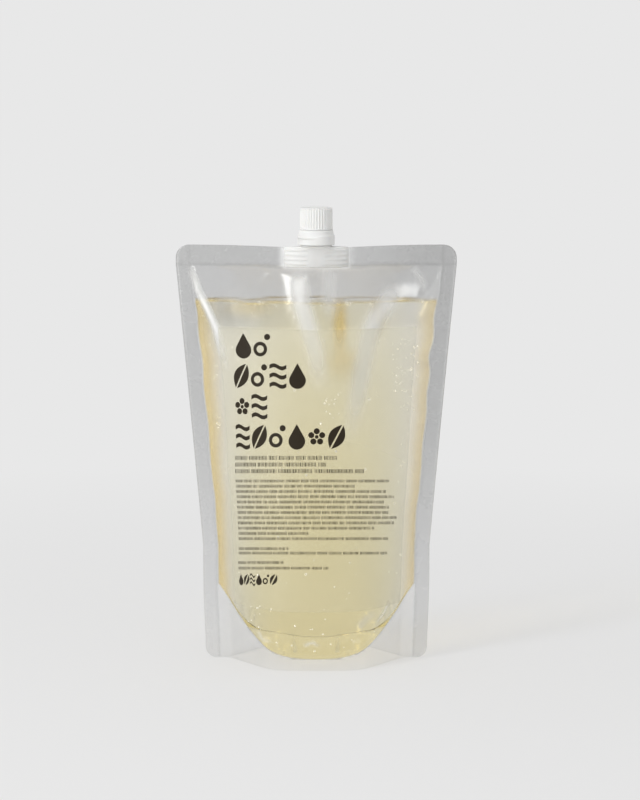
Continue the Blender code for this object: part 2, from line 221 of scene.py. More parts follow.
def foldRelief(s, z, folds):
    # how far the folds stand out of the smooth film, in metres
    flat = s / mm
    high = z / mm
    total = np.zeros_like(s)
    for fold in folds:
        distance, along = distanceToPath(flat, high, fold["path"])
        width = np.where(distance < 0, fold["left"], fold["right"])
        q = np.abs(distance) / width
        soft = fold.get("soft", foldShape["soft"])
        profile = np.maximum(1 - (np.sqrt(q * q + soft * soft) - soft), 0.0) ** foldShape["power"]
        taper = ramp(along, *foldShape["start"]) * (1 - ramp(along, *foldShape["end"]))
        total = total + fold["crest"] * mm * profile * taper
    return total


def crinkleFolds(seed):
    # short folds that run up from the bottom seal
    draw = random.Random(seed)
    folds = []
    for index in range(crinkles["count"]):
        share = (index + draw.uniform(0.1, 0.9)) / crinkles["count"]
        flat = crinkles["reach"] * (2 * share - 1)
        low = sealHeight(np.array(flat * mm)) / mm
        lean = draw.uniform(-crinkles["lean"], crinkles["lean"]) + flat * crinkles["fan"]
        length = draw.uniform(*crinkles["length"])
        folds.append({
            "path": [(flat, low - 1), (flat - lean * length, low + length)],
            "crest": draw.uniform(*crinkles["crest"]),
            "left": draw.uniform(*crinkles["width"]),
            "right": draw.uniform(*crinkles["width"]),
            "soft": crinkles["soft"],
        })
    return folds


def puckers(s, z, seed):
    # fine ripples that run in from the side seals, and a slow unevenness all over
    draw = random.Random(seed)
    high = z / mm
    inward = (halfFree - np.abs(s)) / mm
    side = np.sign(s)
    total = np.zeros_like(s)
    for wave in ripples["atSeam"]:
        phase = draw.uniform(0, ripples["phases"])
        bend = 1.4 * np.sin(high / 31 + phase) + 0.12 * inward * side
        ripple = 1 + np.sin(2 * math.pi * high / wave + phase + bend)
        reach = np.exp(-inward / (0.9 * wave)) * ramp(inward, 0, 4)
        total = total + ripples["seamRise"] * wave * ripple * reach
    for wave in ripples["allOver"]:
        phase = draw.uniform(0, ripples["phases"])
        turn = draw.uniform(0.3, 1.3)
        along = high * math.sin(turn) + s / mm * math.cos(turn)
        swing = 1 + np.sin(2 * math.pi * along / wave + phase)
        total = total + ripples["slowRise"] * wave * swing * ramp(inward, 0, 12)
    return total * mm


def seamOffset(z):
    withGusset = 1 - ramp(z, pouch["fold"], pouch["fold"] + pouch["sideSeal"])
    return layer / 2 + layer * withGusset


# Where the film spreads to take in the boat of the spout
drape = {"reach": 24 * mm, "depth": 6.825 * mm, "low": spoutLow.z - 24.4 * mm, "high": spoutLow.z}


def boatDrape(x, z):
    # how far the film stands out where it is welded round the boat of the spout
    share = np.maximum(1 - (x / drape["reach"]) ** 2, 0.0) ** 1.5
    return drape["depth"] * share * ramp(z, drape["low"], drape["high"])


def sealHeight(s):
    # height of the U-shaped seal between film and gusset
    u = np.minimum(np.abs(s) / halfFree, 1)
    return pouch["skirt"] + (pouch["fold"] - pouch["skirt"]) * u ** pouch["sealPower"]


fineFolds[-1] += crinkleFolds(5)
fineFolds[1] += crinkleFolds(9)


def filmPoint(s, z, side, lift=0.0, folds="all"):
    # point on the front (-1) or back (1) film, with all folds, the main ones or none, lifted outwards
    s, z = np.broadcast_arrays(np.asarray(s, float), np.asarray(z, float))
    run = np.abs(s)
    pinch = np.zeros_like(s) if folds == "none" else pinchDepth(s, z)
    free = halfFree - pinch
    drawn = pinch * ramp(run, pouch["pinchFrom"] * halfFree, free)
    u = np.minimum((run + drawn) / halfFree, 1)
    x = lookUp(acrossTable, u, z) - drawn + np.maximum(run - free, 0)
    swell = lookUp(swellTable, u, z)
    depth = (swell ** 4 + boatDrape(x, z) ** 4) ** 0.25
    angle = np.where(run < free, filmSlope(u, z), 0.0)
    push = np.full_like(s, lift)
    if folds != "none":
        relief = foldRelief(s, z, mainFolds[side])
        if folds == "all":
            relief = relief + foldRelief(s, z, fineFolds[side]) + puckers(s, z, 3 + side)
        held = ramp(free - run, 0, foldHold["side"]) * ramp(sealLine - z, 0, foldHold["top"])
        held = held * ramp(z - sealHeight(s), *foldHold["bottom"])
        push = push + np.maximum(relief * held, -foldHold["deepest"] * swell)
    x = x + push * np.sin(angle)
    depth = depth + push * np.cos(angle)
    droop = pouch["droop"] * np.exp(-(s / pouch["droopReach"]) ** 2) * (z / pouch["height"]) ** 12
    return np.stack([np.sign(s) * x, side * (depth + seamOffset(z)), z - droop], axis=-1)


# How far the liquid climbs the film, and the depth of its scallops and ripples, in mm
edgeOfLiquid = {"climb": 1.5, "scallop": 0.9, "ripple": 0.35}


def waterline(s):
    # height of the liquid where it climbs the film, in shallow scallops
    flat = s / mm
    scallop = edgeOfLiquid["scallop"] * np.abs(np.sin(flat / 15.5 + 0.5))
    ripple = edgeOfLiquid["ripple"] * np.sin(flat / 5.1) * np.sin(flat / 23)
    return pouch["level"] + (edgeOfLiquid["climb"] - scallop - ripple) * mm


# Mesh helpers


def linkObject(name, data):
    item = bpy.data.objects.new(name, data)
    bpy.context.scene.collection.objects.link(item)
    return item


def linkMesh(name, vertices, faces, smooth=True):
    mesh = bpy.data.meshes.new(name)
    mesh.from_pydata(np.asarray(vertices).tolist(), [], faces)
    mesh.update()
    if smooth:
        mesh.shade_smooth()
    return linkObject(name, mesh)


def gridFaces(rows, columns, start=0, flip=False):
    faces = []
    for r in range(rows - 1):
        for c in range(columns - 1):
            a = start + r * columns + c
            quad = (a, a + 1, a + columns + 1, a + columns)
            faces.append(quad[::-1] if flip else quad)
    return faces


def thinSolid(name, grid, wall, marks=None, flip=False):
    # closed sheet of one wall thickness round a grid of points, with its marks as attributes
    across = np.gradient(grid, axis=1)
    up = np.gradient(grid, axis=0)
    normal = np.cross(across, up)
    length = np.linalg.norm(normal, axis=2, keepdims=True)
    normal = normal / np.maximum(length, 1e-12)
    rows, columns = grid.shape[:2]
    front = (grid + normal * wall / 2).reshape(-1, 3)
    back = (grid - normal * wall / 2).reshape(-1, 3)
    count = rows * columns
    faces = gridFaces(rows, columns) + gridFaces(rows, columns, count, flip=True)
    rim = list(range(columns))
    rim += [r * columns + columns - 1 for r in range(1, rows)]
    rim += [(rows - 1) * columns + c for c in range(columns - 2, -1, -1)]
    rim += [r * columns for r in range(rows - 2, 0, -1)]
    for a, b in zip(rim, rim[1:] + rim[:1]):
        faces.append((b, a, a + count, b + count))
    if flip:
        faces = [face[::-1] for face in faces]
    item = linkMesh(name, np.vstack([front, back]), faces)
    for key, values in (marks or {}).items():
        layerOfMarks = item.data.attributes.new(key, "FLOAT", "POINT")
        flat = np.asarray(values, np.float32).reshape(-1)
        layerOfMarks.data.foreach_set("value", np.concatenate([flat, flat]))
    return item


def mendMesh(item, merge=0.0, shortest=0.0):
    # merges doubled points, drops edges of no length and turns all faces outwards
    shape = bmesh.new()
    shape.from_mesh(item.data)
    if merge:
        bmesh.ops.remove_doubles(shape, verts=shape.verts, dist=merge)
    if shortest:
        bmesh.ops.dissolve_degenerate(shape, edges=shape.edges, dist=shortest)
    bmesh.ops.recalc_face_normals(shape, faces=shape.faces)
    shape.to_mesh(item.data)
    shape.free()
    return item


def settle(item):
    # turns an object with modifiers into a plain mesh of the same shape
    graph = bpy.context.evaluated_depsgraph_get()
    shown = item.evaluated_get(graph)
    mesh = bpy.data.meshes.new_from_object(shown, preserve_all_data_layers=True, depsgraph=graph)
    item.modifiers.clear()
    old = item.data
    item.data = mesh
    if old.users == 0:
        bpy.data.meshes.remove(old)
    return item


def shadeAll(item, sharpAngle):
    # smooth all over, apart from edges sharper than the angle in degrees
    item.data.shade_smooth()
    item.data.set_sharp_from_angle(angle=math.radians(sharpAngle))
    return item


def finish(item, material, body, slot, *nodes):
    item.data.materials.clear()
    item.data.materials.append(material)
    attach(item, body)
    if nodes:
        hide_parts(*nodes)
    return item


# Material helpers


def srgb(red, green, blue):
    # a colour given as it is seen, 0 to 255, as the linear colour that a shader takes
    linear = []
    for value in (red, green, blue):
        share = value / 255
        linear.append(share / 12.92 if share <= 0.04045 else ((share + 0.055) / 1.055) ** 2.4)
    return (*linear, 1.0)


def fill(tree, node, inputs):
    # gives each input, by name or number, a value or a link from another node's output
    for key, value in inputs.items():
        if isinstance(value, bpy.types.NodeSocket):
            tree.links.new(value, node.inputs[key])
        else:
            node.inputs[key].default_value = value
    return node


def addNode(tree, kind, inputs=None, **settings):
    node = tree.nodes.new(kind)
    for key, value in settings.items():
        setattr(node, key, value)
    return fill(tree, node, inputs or {})


def startMaterial(name):
    material = bpy.data.materials.new(name)
    material.use_nodes = True
    return material, material.node_tree, material.node_tree.nodes["Principled BSDF"]


def mathNode(tree, operation, first, second=0.0, clamp=False):
    node = addNode(tree, "ShaderNodeMath", {0: first, 1: second}, operation=operation, use_clamp=clamp)
    return node.outputs[0]


def mixNode(tree, kind, share, first, second):
    # mixes two colours ("RGBA") or two values ("FLOAT")
    start, end = (6, 2) if kind == "RGBA" else (2, 0)
    node = addNode(tree, "ShaderNodeMix", data_type=kind)
    return fill(tree, node, {0: share, start: first, start + 1: second}).outputs[end]


def mixShaders(tree, share, first, second):
    inputs = {0: share, 1: first.outputs[0], 2: second.outputs[0]}
    return addNode(tree, "ShaderNodeMixShader", inputs)


def rangeNode(tree, value, source, target=(0.0, 1.0)):
    # stretches a value from one range to another, and stops at the ends
    names = ("Value", "From Min", "From Max", "To Min", "To Max")
    inputs = dict(zip(names, (value, *source, *target)))
    return addNode(tree, "ShaderNodeMapRange", inputs).outputs["Result"]


def addSocket(tree, side, kind, name, value=None):
    socket = tree.interface.new_socket(name=name, in_out=side, socket_type="NodeSocket" + kind)
    if value is not None:
        socket.default_value = value


def makeSurfaceGroup():
    # fine grain to bump with and slow smudges to vary the gloss with
    tree = bpy.data.node_groups.new("handledSurface", "ShaderNodeTree")
    for name, value in (("Grain Scale", 900.0), ("Smudge Scale", 40.0), ("Smudge Share", 0.5)):
        addSocket(tree, "INPUT", "Float", name, value)
    addSocket(tree, "OUTPUT", "Float", "Height")
    addSocket(tree, "OUTPUT", "Float", "Smudge")
    inside = addNode(tree, "NodeGroupInput").outputs
    place = addNode(tree, "ShaderNodeTexCoord").outputs["Object"]
    grain = addNode(tree, "ShaderNodeTexNoise", {
        "Vector": place,
        "Scale": inside["Grain Scale"],
        "Detail": 3.0,
    })
    smudge = addNode(tree, "ShaderNodeTexNoise", {
        "Vector": place,
        "Scale": inside["Smudge Scale"],
        "Detail": 4.0,
        "Roughness": 0.62,
    })
    spread = rangeNode(tree, smudge.outputs["Fac"], (0.38, 0.68))
    addNode(tree, "NodeGroupOutput", {
        "Height": grain.outputs["Fac"],
        "Smudge": mathNode(tree, "MULTIPLY", spread, inside["Smudge Share"]),
    })
    return tree


surfaceGroup = makeSurfaceGroup()


def handledSurface(tree, grainScale, smudgeScale, smudgeShare):
    sizes = {"Grain Scale": grainScale, "Smudge Scale": smudgeScale, "Smudge Share": smudgeShare}
    node = addNode(tree, "ShaderNodeGroup", sizes, node_tree=surfaceGroup)
    return node.outputs["Smudge"], node.outputs["Height"]


def bumpFrom(tree, height, distance):
    return addNode(tree, "ShaderNodeBump", {"Height": height, "Distance": distance}).outputs["Normal"]


def smudgedMaterial(name, look):
    # a colour that turns to another where it is smudged, rougher there, with a fine grain
    material, tree, shader = startMaterial(name)
    smudge, height = handledSurface(tree, *look["surface"])
    fill(tree, shader, {
        "Base Color": mixNode(tree, "RGBA", smudge, look["clean"], look["smudged"]),
        "Roughness": mathNode(tree, "ADD", smudge, look["roughness"]),
        "Normal": bumpFrom(tree, height, look["grainDepth"]),
    })
    fill(tree, shader, look.get("more", {}))
    return material


# Stage: camera, backdrop and lights

stage = {
    "backdrop": srgb(232, 232, 232),
    "cameraPlace": (2.2 * mm, -1.747, 0.388),
    "cameraDip": math.radians(7.6),
    "lens": 167.8,
    "floorRadius": 6.0,
    "floorPale": 0.97,
    "floorDrop": 0.2 * mm,
    "shadowShare": 0.35,
    "shadowReach": (0.18, 0.75),
    "roomGrey": 0.34,
    "roomTurn": (-0.25, 0.35),
    "roomLight": 0.52,
    "aim": 0.13,
}
# Lamps turned round the pouch by an azimuth and an elevation in degrees, with size and distance in metres
softboxDistance = 1.5
softboxes = [
    {"name": "leftBox", "azimuth": -47, "elevation": 38, "size": (0.24, 1.90), "glow": 6.6},
    {"name": "lowCard", "azimuth": -45, "elevation": -1, "size": (0.18, 0.22), "glow": 9.0},
    {"name": "rightStrip", "azimuth": 34, "elevation": 15, "size": (0.17, 0.46), "glow": 3.6},
]


def makeCamera():
    data = bpy.data.cameras.new("camera")
    data.sensor_fit = "HORIZONTAL"
    data.sensor_width = 36
    data.lens = stage["lens"]
    data.clip_end = 20
    camera = linkObject("camera", data)
    camera.location = stage["cameraPlace"]
    camera.rotation_euler = (math.pi / 2 - stage["cameraDip"], 0, 0)
    bpy.context.scene.camera = camera


def makeSoftbox(spec):
    turn = math.radians(spec["azimuth"])
    rise = math.radians(spec["elevation"])
    level = softboxDistance * math.cos(rise)
    height = stage["aim"] + softboxDistance * math.sin(rise)
    data = bpy.data.lights.new(spec["name"], "AREA")
    data.shape = "RECTANGLE"
    data.size, data.size_y = spec["size"]
    data.energy = spec["glow"] * math.pi * data.size * data.size_y
    lamp = linkObject(spec["name"], data)
    lamp.location = (level * math.sin(turn), -level * math.cos(turn), height)
    lamp.rotation_euler = (math.pi / 2 - rise, 0, turn)


def makeWorld():
    # an even light, a darker room in front as reflections see it, and the pale backdrop behind
    world = bpy.data.worlds.new("studio")
    world.use_nodes = True
    tree = world.node_tree
    tree.nodes.clear()
    rays = addNode(tree, "ShaderNodeLightPath").outputs
    place = addNode(tree, "ShaderNodeTexCoord").outputs["Generated"]
    depth = addNode(tree, "ShaderNodeSeparateXYZ", {0: place}).outputs["Y"]
    greys = (stage["roomGrey"], stage["backdrop"][0])
    room = rangeNode(tree, depth, stage["roomTurn"], greys)
    light = addNode(tree, "ShaderNodeBackground", {"Color": (1, 1, 1, 1), "Strength": stage["roomLight"]})
    mirrored = addNode(tree, "ShaderNodeBackground", {"Color": room})
    seen = addNode(tree, "ShaderNodeBackground", {"Color": stage["backdrop"]})
    through = mathNode(tree, "MAXIMUM", rays["Is Camera Ray"], rays["Is Transmission Ray"])
    lit = mixShaders(tree, rays["Is Glossy Ray"], light, mirrored)
    shown = mixShaders(tree, through, lit, seen)
    addNode(tree, "ShaderNodeOutputWorld", {"Surface": shown.outputs[0]})
    bpy.context.scene.world = world


def makeFloor():
    # catches the shadow near the pouch and turns into the backdrop further out
    shape = bmesh.new()
    bmesh.ops.create_circle(shape, cap_ends=True, cap_tris=True, segments=96, radius=stage["floorRadius"])
    mesh = bpy.data.meshes.new("floor")
    shape.to_mesh(mesh)
    shape.free()
    floor = linkObject("floor", mesh)
    floor.location = (0, 0, -stage["floorDrop"])
    material, tree, shader = startMaterial("paleFloor")
    pale = stage["floorPale"]
    fill(tree, shader, {"Base Color": (pale, pale, pale, 1), "Roughness": 0.9, "Specular IOR Level": 0.0})
    rays = addNode(tree, "ShaderNodeLightPath").outputs
    place = addNode(tree, "ShaderNodeTexCoord").outputs["Object"]
    far = addNode(tree, "ShaderNodeVectorMath", {0: place}, operation="LENGTH").outputs["Value"]
    glowing = rangeNode(tree, far, stage["shadowReach"], (1 - stage["shadowShare"], 1.0))
    glow = addNode(tree, "ShaderNodeEmission", {"Color": stage["backdrop"]})
    seen = mathNode(tree, "MAXIMUM", rays["Is Camera Ray"], rays["Is Transmission Ray"])
    seen = mathNode(tree, "MAXIMUM", seen, rays["Is Glossy Ray"])
    shown = mixShaders(tree, mathNode(tree, "MULTIPLY", seen, glowing), shader, glow)
    fill(tree, tree.nodes["Material Output"], {"Surface": shown.outputs[0]})
    mesh.materials.append(material)


makeCamera()
makeWorld()
makeFloor()
for spec in softboxes:
    makeSoftbox(spec)
bpy.context.scene.view_settings.view_transform = "Standard"
bpy.context.scene.cycles.transparent_max_bounces = 32
print("stage set")


# Film: front, back and gusset

film = {
    "columns": 150,
    "rows": 180,
    "cornerSteps": 7,
    "gussetColumns": 130,
    "flangeRows": 12,
    "gussetRows": 34,
    "tint": (0.40, 0.405, 0.40, 1.0),
    "smudged": (0.50, 0.505, 0.49, 1.0),
    "grainDepth": 0.06 * mm,
    "wetEdge": (-0.1, 0.25),
    "gloss": 0.13,
    "weldGloss": 0.24,
    "labelGloss": 0.42,
    "dryVeil": 0.125,
    "wetVeil": 0.060,
    "wetGain": 0.035,
    "labelVeil": 0.050,
    "sealVeilTop": 0.150,
    "sealVeilLow": 0.060,
    "skirtVeil": 0.022,
    # painted shade: how much thicker the dry veil gets towards the right side
    "paintedRightShade": 0.35,
    "grazeGain": 0.30,
    "grazePower": 4.0,
    "edgeVeil": 0.03,
    "boatClears": 0.85,
    # painted amber shade: its colour and how strongly it covers the film
    "paintedAmber": srgb(250, 228, 158),
    "amberVeil": 0.7,
    # colour of the painted highlight streaks, and how much of the film's shine they take away
    "paintedStreak": srgb(250, 250, 247),
    "paintedStreakDulls": 1.8,
    "dullPlace": (-46, 204),
    "dullSpread": (15, 10),
    "dullVeil": 1.1,
}


def markOf(tree, name):
    # a mark of the mesh, as a value
    return addNode(tree, "ShaderNodeAttribute", attribute_name=name).outputs["Fac"]


def makeFilmMaterial():
    # a thin veil, denser where the film is dry or steep, with painted amber shade and painted white
    # highlight streaks laid on it
    material, tree, shader = startMaterial("clearFilm")
    smudge, height = handledSurface(tree, 260, 55, 0.10)
    under = rangeNode(tree, markOf(tree, "dip"), film["wetEdge"])
    veil = mixNode(tree, "FLOAT", under, markOf(tree, "dryVeil"), markOf(tree, "wetVeil"))
    facing = addNode(tree, "ShaderNodeLayerWeight", {"Blend": 0.5}).outputs["Facing"]
    steep = mathNode(tree, "POWER", facing, film["grazePower"])
    gain = mathNode(tree, "MULTIPLY", steep, film["grazeGain"])
    # painted amber shade where the liquid would look darker through the film
    paintedAmberCover = mathNode(tree, "MULTIPLY", markOf(tree, "paintedAmber"), film["amberVeil"])
    # painted highlight: near-white, matt streaks laid over the veil
    paintedSheen = markOf(tree, "paintedSheen")
    clear = mathNode(tree, "ADD", veil, gain)
    cover = mathNode(tree, "ADD", mathNode(tree, "ADD", clear, paintedAmberCover), paintedSheen, clamp=True)
    least = mathNode(tree, "MAXIMUM", cover, 0.001)
    coloured = mathNode(tree, "DIVIDE", paintedAmberCover, least, clamp=True)
    sheenShare = mathNode(tree, "DIVIDE", paintedSheen, least, clamp=True)
    dulled = mathNode(tree, "MULTIPLY", sheenShare, film["paintedStreakDulls"])
    matt = mathNode(tree, "ADD", coloured, dulled, clamp=True)
    tone = mixNode(tree, "RGBA", smudge, film["tint"], film["smudged"])
    tone = mixNode(tree, "RGBA", coloured, tone, film["paintedAmber"])
    tone = mixNode(tree, "RGBA", sheenShare, tone, film["paintedStreak"])
    gloss = rangeNode(tree, markOf(tree, "weld"), (0.0, 1.0), (film["gloss"], film["weldGloss"]))
    gloss = mixNode(tree, "FLOAT", markOf(tree, "labelled"), gloss, film["labelGloss"])
    fill(tree, shader, {
        "Base Color": tone,
        "Alpha": cover,
        "Metallic": mathNode(tree, "SUBTRACT", 1.0, matt),
        "Roughness": mathNode(tree, "ADD", gloss, smudge),
        "Normal": bumpFrom(tree, height, film["grainDepth"]),
    })
    return material


def cornerCut(z):
    # how far the rounded corners cut into the side at a height
    low = np.clip(1 - z / pouch["bottomCorner"], 0, 1)
    high = np.clip((z - pouch["height"] + pouch["topCorner"]) / pouch["topCorner"], 0, 1)
    lowCut = pouch["bottomCorner"] * (1 - np.sqrt(1 - low ** 2))
    return lowCut + pouch["topCorner"] * (1 - np.sqrt(1 - high ** 2))


def closerAtEnds(count, gain):
    # numbers from -1 to 1 that lie closer together at both ends
    t = np.linspace(-1, 1, count)
    return (1 + gain) * t - gain * t ** 3


def filmGrid():
    # flat distances and heights of the film's points, closer together at corners and sides
    steps = film["cornerSteps"]
    turn = np.arange(steps) / steps * math.pi / 2
    low = pouch["bottomCorner"] * (1 - np.cos(turn))
    top = pouch["height"] - pouch["topCorner"] * (1 - np.sin(np.append(turn, math.pi / 2)))
    body = np.linspace(pouch["bottomCorner"], top[0], film["rows"], endpoint=False)
    heights = np.concatenate([low, body, top])
    inner = halfFree * closerAtEnds(film["columns"], 0.3)
    rim = np.linspace(0, 1, 5)[1:] * pouch["sideSeal"] + halfFree
    flat = np.concatenate([-rim[::-1], inner, rim])
    return np.meshgrid(flat, heights)


# Painted amber shade where the liquid looks darker through the film, as (flat distance, height, spread
# across, spread up, strength), with a painted margin along the side seals and a painted line at the level;
# lengths in mm
amberPatches = [
    (-38, 210, 16, 4, 0.18), (13.2, 200, 3.6, 13, 0.60), (37, 207, 4, 9, 0.35), (15, 176, 9, 6, 0.22),
]
amberMargin = {"left": 0.46, "right": 0.30, "reach": 50 * mm, "width": 8.5}
amberLine = {"strength": 0.75, "width": 0.6}


def amberMark(s, z, dip):
    # how much painted amber shade the film gets: a margin inside the side seals, a few soft patches and a
    # line at the level
    free = halfFree - pinchDepth(s, z)
    inward = (free - np.abs(s)) / mm
    easing = (amberMargin["left"] - amberMargin["right"]) * ramp(s, 0, amberMargin["reach"])
    near = np.exp(-(np.maximum(inward - 1.0, 0) / amberMargin["width"]) ** 2)
    total = (amberMargin["left"] - easing) * near
    for flat, high, wide, tall, strength in amberPatches:
        total = total + strength * np.exp(-((s / mm - flat) / wide) ** 2 - ((z / mm - high) / tall) ** 2)
    line = amberLine["strength"] * np.exp(-(dip / amberLine["width"]) ** 2)
    line = line * (0.7 + 0.3 * np.sin(s / mm / 6.3)) * ramp(inward, 0.5, 2.0)
    line = line * ramp(z, pouch["level"] - 4 * mm, pouch["level"] - 2 * mm)
    return np.clip(total * ramp(dip, -0.3, 0.8) + line, 0, 1)


# Painted highlight streaks on the front film, along folds where the lamps would reflect, as (flat distance,
# height) paths in mm, with how far they spread in mm and how white they are
paintedStreaks = [
    {
        "path": [(-74, 235), (-70, 220.5), (-64, 208), (-59.5, 197), (-56, 179), (-54.7, 168)],
        "wide": 2.1, "white": 0.85,
    },
    {
        "path": [(-11, 236), (-8, 214), (-4, 199), (-0.5, 187), (2, 170), (3, 158)],
        "wide": 5.0, "white": 0.48,
    },
    {"path": [(7.6, 238), (7.3, 222), (9, 202)], "wide": 4.5, "white": 0.22},
    {
        "path": [(50, 226), (43, 216), (36, 206), (31, 195), (28, 178), (24, 158), (18, 128)],
        "wide": 5.4, "white": 0.50,
    },
    {"path": [(51, 38), (45, 31), (37, 23)], "wide": 1.1, "white": 0.30},
    {"path": [(-8, 15), (-2, 17), (3, 14)], "wide": 0.9, "white": 0.28},
    {"path": [(-38, 22), (-31, 17), (-25, 17)], "wide": 1.0, "white": 0.22},
    {"path": [(24, 24), (31, 30), (40, 33)], "wide": 2.4, "white": 0.16},
    {"path": [(55.6, 235), (62, 227), (67.6, 216)], "wide": 2.2, "white": 0.20},
]


def paintedSheenMark(s, z):
    # how much painted highlight the streaks lay on the film
    total = np.zeros_like(s)
    for paintedStreak in paintedStreaks:
        distance, along = distanceToPath(s / mm, z / mm, paintedStreak["path"])
        ends = ramp(along, -0.02, 0.18) * (1 - ramp(along, 0.55, 1.0))
        total = total + paintedStreak["white"] * ends * np.exp(-np.abs(distance / paintedStreak["wide"]) ** 2.5)
    return np.clip(total, 0, 1)


def filmMarks(s, z, label):
    # dip is how far a point lies inside the liquid's outline, in mm
    free = halfFree - pinchDepth(s, z)
    inside = (free - 1.0 * mm - np.abs(s)) / mm
    dip = np.minimum(np.minimum((waterline(s) - z) / mm, inside), (z - sealHeight(s) - 0.2 * mm) / mm)
    sealed = np.maximum(ramp(np.abs(s), free - 0.5 * mm, free), ramp(z, sealLine - 0.4 * mm, sealLine))
    skirt = ramp(sealHeight(s) - z, -0.2 * mm, 0.4 * mm) * (1 - sealed)
    seal = film["sealVeilLow"] + (film["sealVeilTop"] - film["sealVeilLow"]) * ramp(z, 0.0, 0.17)
    dry = film["dryVeil"] * (1 - sealed) + seal * sealed
    dry = dry * (1 - skirt) + film["skirtVeil"] * skirt
    # painted shade: the dry film grows darker towards the right side, where less light falls
    dry = dry * (1 + film["paintedRightShade"] * ramp(s, 15 * mm, 72 * mm))
    edge = np.exp(-((z - sealLine) / (0.5 * mm)) ** 2) + np.exp(-((np.abs(s) - free) / (0.4 * mm)) ** 2)
    dry = dry + film["edgeVeil"] * np.clip(edge, 0, 1)
    overBoat = ramp(-np.abs(s), -21 * mm, -18.5 * mm) * ramp(z, spoutLow.z - 0.6 * mm, spoutLow.z + 0.4 * mm)
    dry = dry * (1 - film["boatClears"] * overBoat)
    wet = film["wetVeil"] + film["wetGain"] * ramp(z, 188 * mm, 206 * mm)
    awayX = (s / mm - film["dullPlace"][0]) / film["dullSpread"][0]
    awayZ = (z / mm - film["dullPlace"][1]) / film["dullSpread"][1]
    dull = np.exp(-awayX ** 2 - awayZ ** 2)
    wet = wet * (1 + film["dullVeil"] * dull)
    wet = wet * (1 - label) + film["labelVeil"] * label
    return {
        "dip": np.clip(dip, -6, 6),
        "dryVeil": dry,
        "wetVeil": wet,
        "weld": sealed,
        "labelled": np.maximum(label, dull),
        "paintedAmber": amberMark(s, z, dip),
        "paintedSheen": np.zeros_like(s),
    }


filmMaterial = makeFilmMaterial()

labelPlan = {
    "left": -58.7 * mm,
    "right": 61.0 * mm,
    "low": 35.2 * mm,
    "high": 199.2 * mm,
    "wall": 0.1 * mm,
    "lift": 0.075 * mm + 0.2 * mm,
    "columns": 110,
    "rows": 150,
    "softEdge": 0.5 * mm,
    "underShare": 0.9,
    "surface": (1500, 30, 0.12),
    "clean": srgb(226, 221, 196),
    "smudged": srgb(236, 231, 210),
    "roughness": 0.38,
    "grainDepth": 0.02 * mm,
    "more": {"Alpha": 0.13},
}


def underLabel(s, z):
    # 1 behind the label and 0 beside it, soft at its edges
    soft = labelPlan["softEdge"]
    left = ramp(s, labelPlan["left"] - soft, labelPlan["left"])
    right = ramp(-s, -labelPlan["right"] - soft, -labelPlan["right"])
    low = ramp(z, labelPlan["low"] - soft, labelPlan["low"])
    high = ramp(-z, -labelPlan["high"] - soft, -labelPlan["high"])
    return left * right * low * high


def makeFilm(name, side):
    s, z = filmGrid()
    cut = cornerCut(z)
    outer = np.maximum(np.abs(s) - halfFree, 0) / pouch["sideSeal"]
    flat = np.where(outer > 0, np.sign(s) * (halfFree + outer * (pouch["sideSeal"] - cut)), s)
    grid = filmPoint(flat, z, side)
    label = underLabel(s, z) * labelPlan["underShare"] if side < 0 else np.zeros_like(s)
    marks = filmMarks(flat, z, label)
    if side < 0:
        # only the front film carries the painted highlight streaks
        marks["paintedSheen"] = paintedSheenMark(flat, z)
    return thinSolid(name, grid, pouch["wall"], marks, flip=side > 0)


def gussetSag(s):
    seal = sealHeight(s)
    depth = np.abs(filmPoint(s, seal, 1, folds="none")[..., 1])
    free = pouch["fold"] - seal
    drop = np.minimum(np.sqrt(np.maximum(free ** 2 - depth ** 2, 0)), pouch["gussetSlope"] * depth)
    return np.maximum(seal - drop, pouch["wall"] / 2)


def gussetHeight(s, share):
    # the share is 0 at the seal and 1 in the middle, where the gusset lies flat
    seal = sealHeight(s)
    return seal - (seal - gussetSag(s)) * min(share / pouch["floorShare"], 1.0)


def makeGusset(name):
    # down from each seal to the flat middle, with the flanges that are welded to both panels
    flat = (halfFree - pouch["gap"]) * closerAtEnds(film["gussetColumns"], 0.3)
    flange = np.linspace(0, 1, film["flangeRows"])
    free = np.linspace(0, 1, film["gussetRows"]) ** 0.8
    rows = []
    marks = []
    for side in (-1, 1):
        half = []
        halfMarks = []
        seal = sealHeight(flat)
        for share in flange:
            z = pouch["wall"] + (seal - pouch["wall"]) * share
            half.append(filmPoint(flat, z, side, -layer, folds="none"))
            halfMarks.append(np.full_like(flat, -6.0))
        rim = filmPoint(flat, seal, side, -2 * layer, folds="none")
        for share in free:
            point = rim.copy()
            point[:, 1] *= 1 - share
            point[:, 2] = gussetHeight(flat, share)
            half.append(point)
            halfMarks.append(np.full_like(flat, 6.0))
        if side > 0:
            half = half[:-1][::-1]
            halfMarks = halfMarks[:-1][::-1]
        rows += half
        marks += halfMarks
    grid = np.stack(rows)
    dip = np.stack(marks)
    none = np.zeros_like(dip)
    veil = {
        "dip": dip,
        "dryVeil": none + film["skirtVeil"],
        "wetVeil": none + film["wetVeil"],
        "weld": none,
        "labelled": none,
        "paintedAmber": none,
        "paintedSheen": none,
    }
    return thinSolid(name, grid, pouch["wall"], veil)


finish(makeFilm("frontFilm", -1), filmMaterial, "pouch", "clear_film", "front_film")
finish(makeFilm("backFilm", 1), filmMaterial, "pouch", "clear_film", "back_film")
finish(makeGusset("baseGusset"), filmMaterial, "pouch", "clear_film", "base_gusset")
print("film made")


# Liquid and its bubbles

liquid = {
    "columns": 150,
    "wallRows": 120,
    "topSteps": 18,
    "floorSteps": 26,
    "inset": 0.22 * mm,
    "edge": 1.0 * mm,
    "aboveSeal": 0.35 * mm,
    "aboveFloor": 0.3 * mm,
    "leastHeight": 1.0 * mm,
    "halfGap": 0.05 * mm,
    "climbReach": 1.1 * mm,
    "colour": (0.95, 0.81, 0.17, 1.0),
    "density": 11.2,
    "bend": 1.10,
    "shadowTint": srgb(246, 240, 214),
}


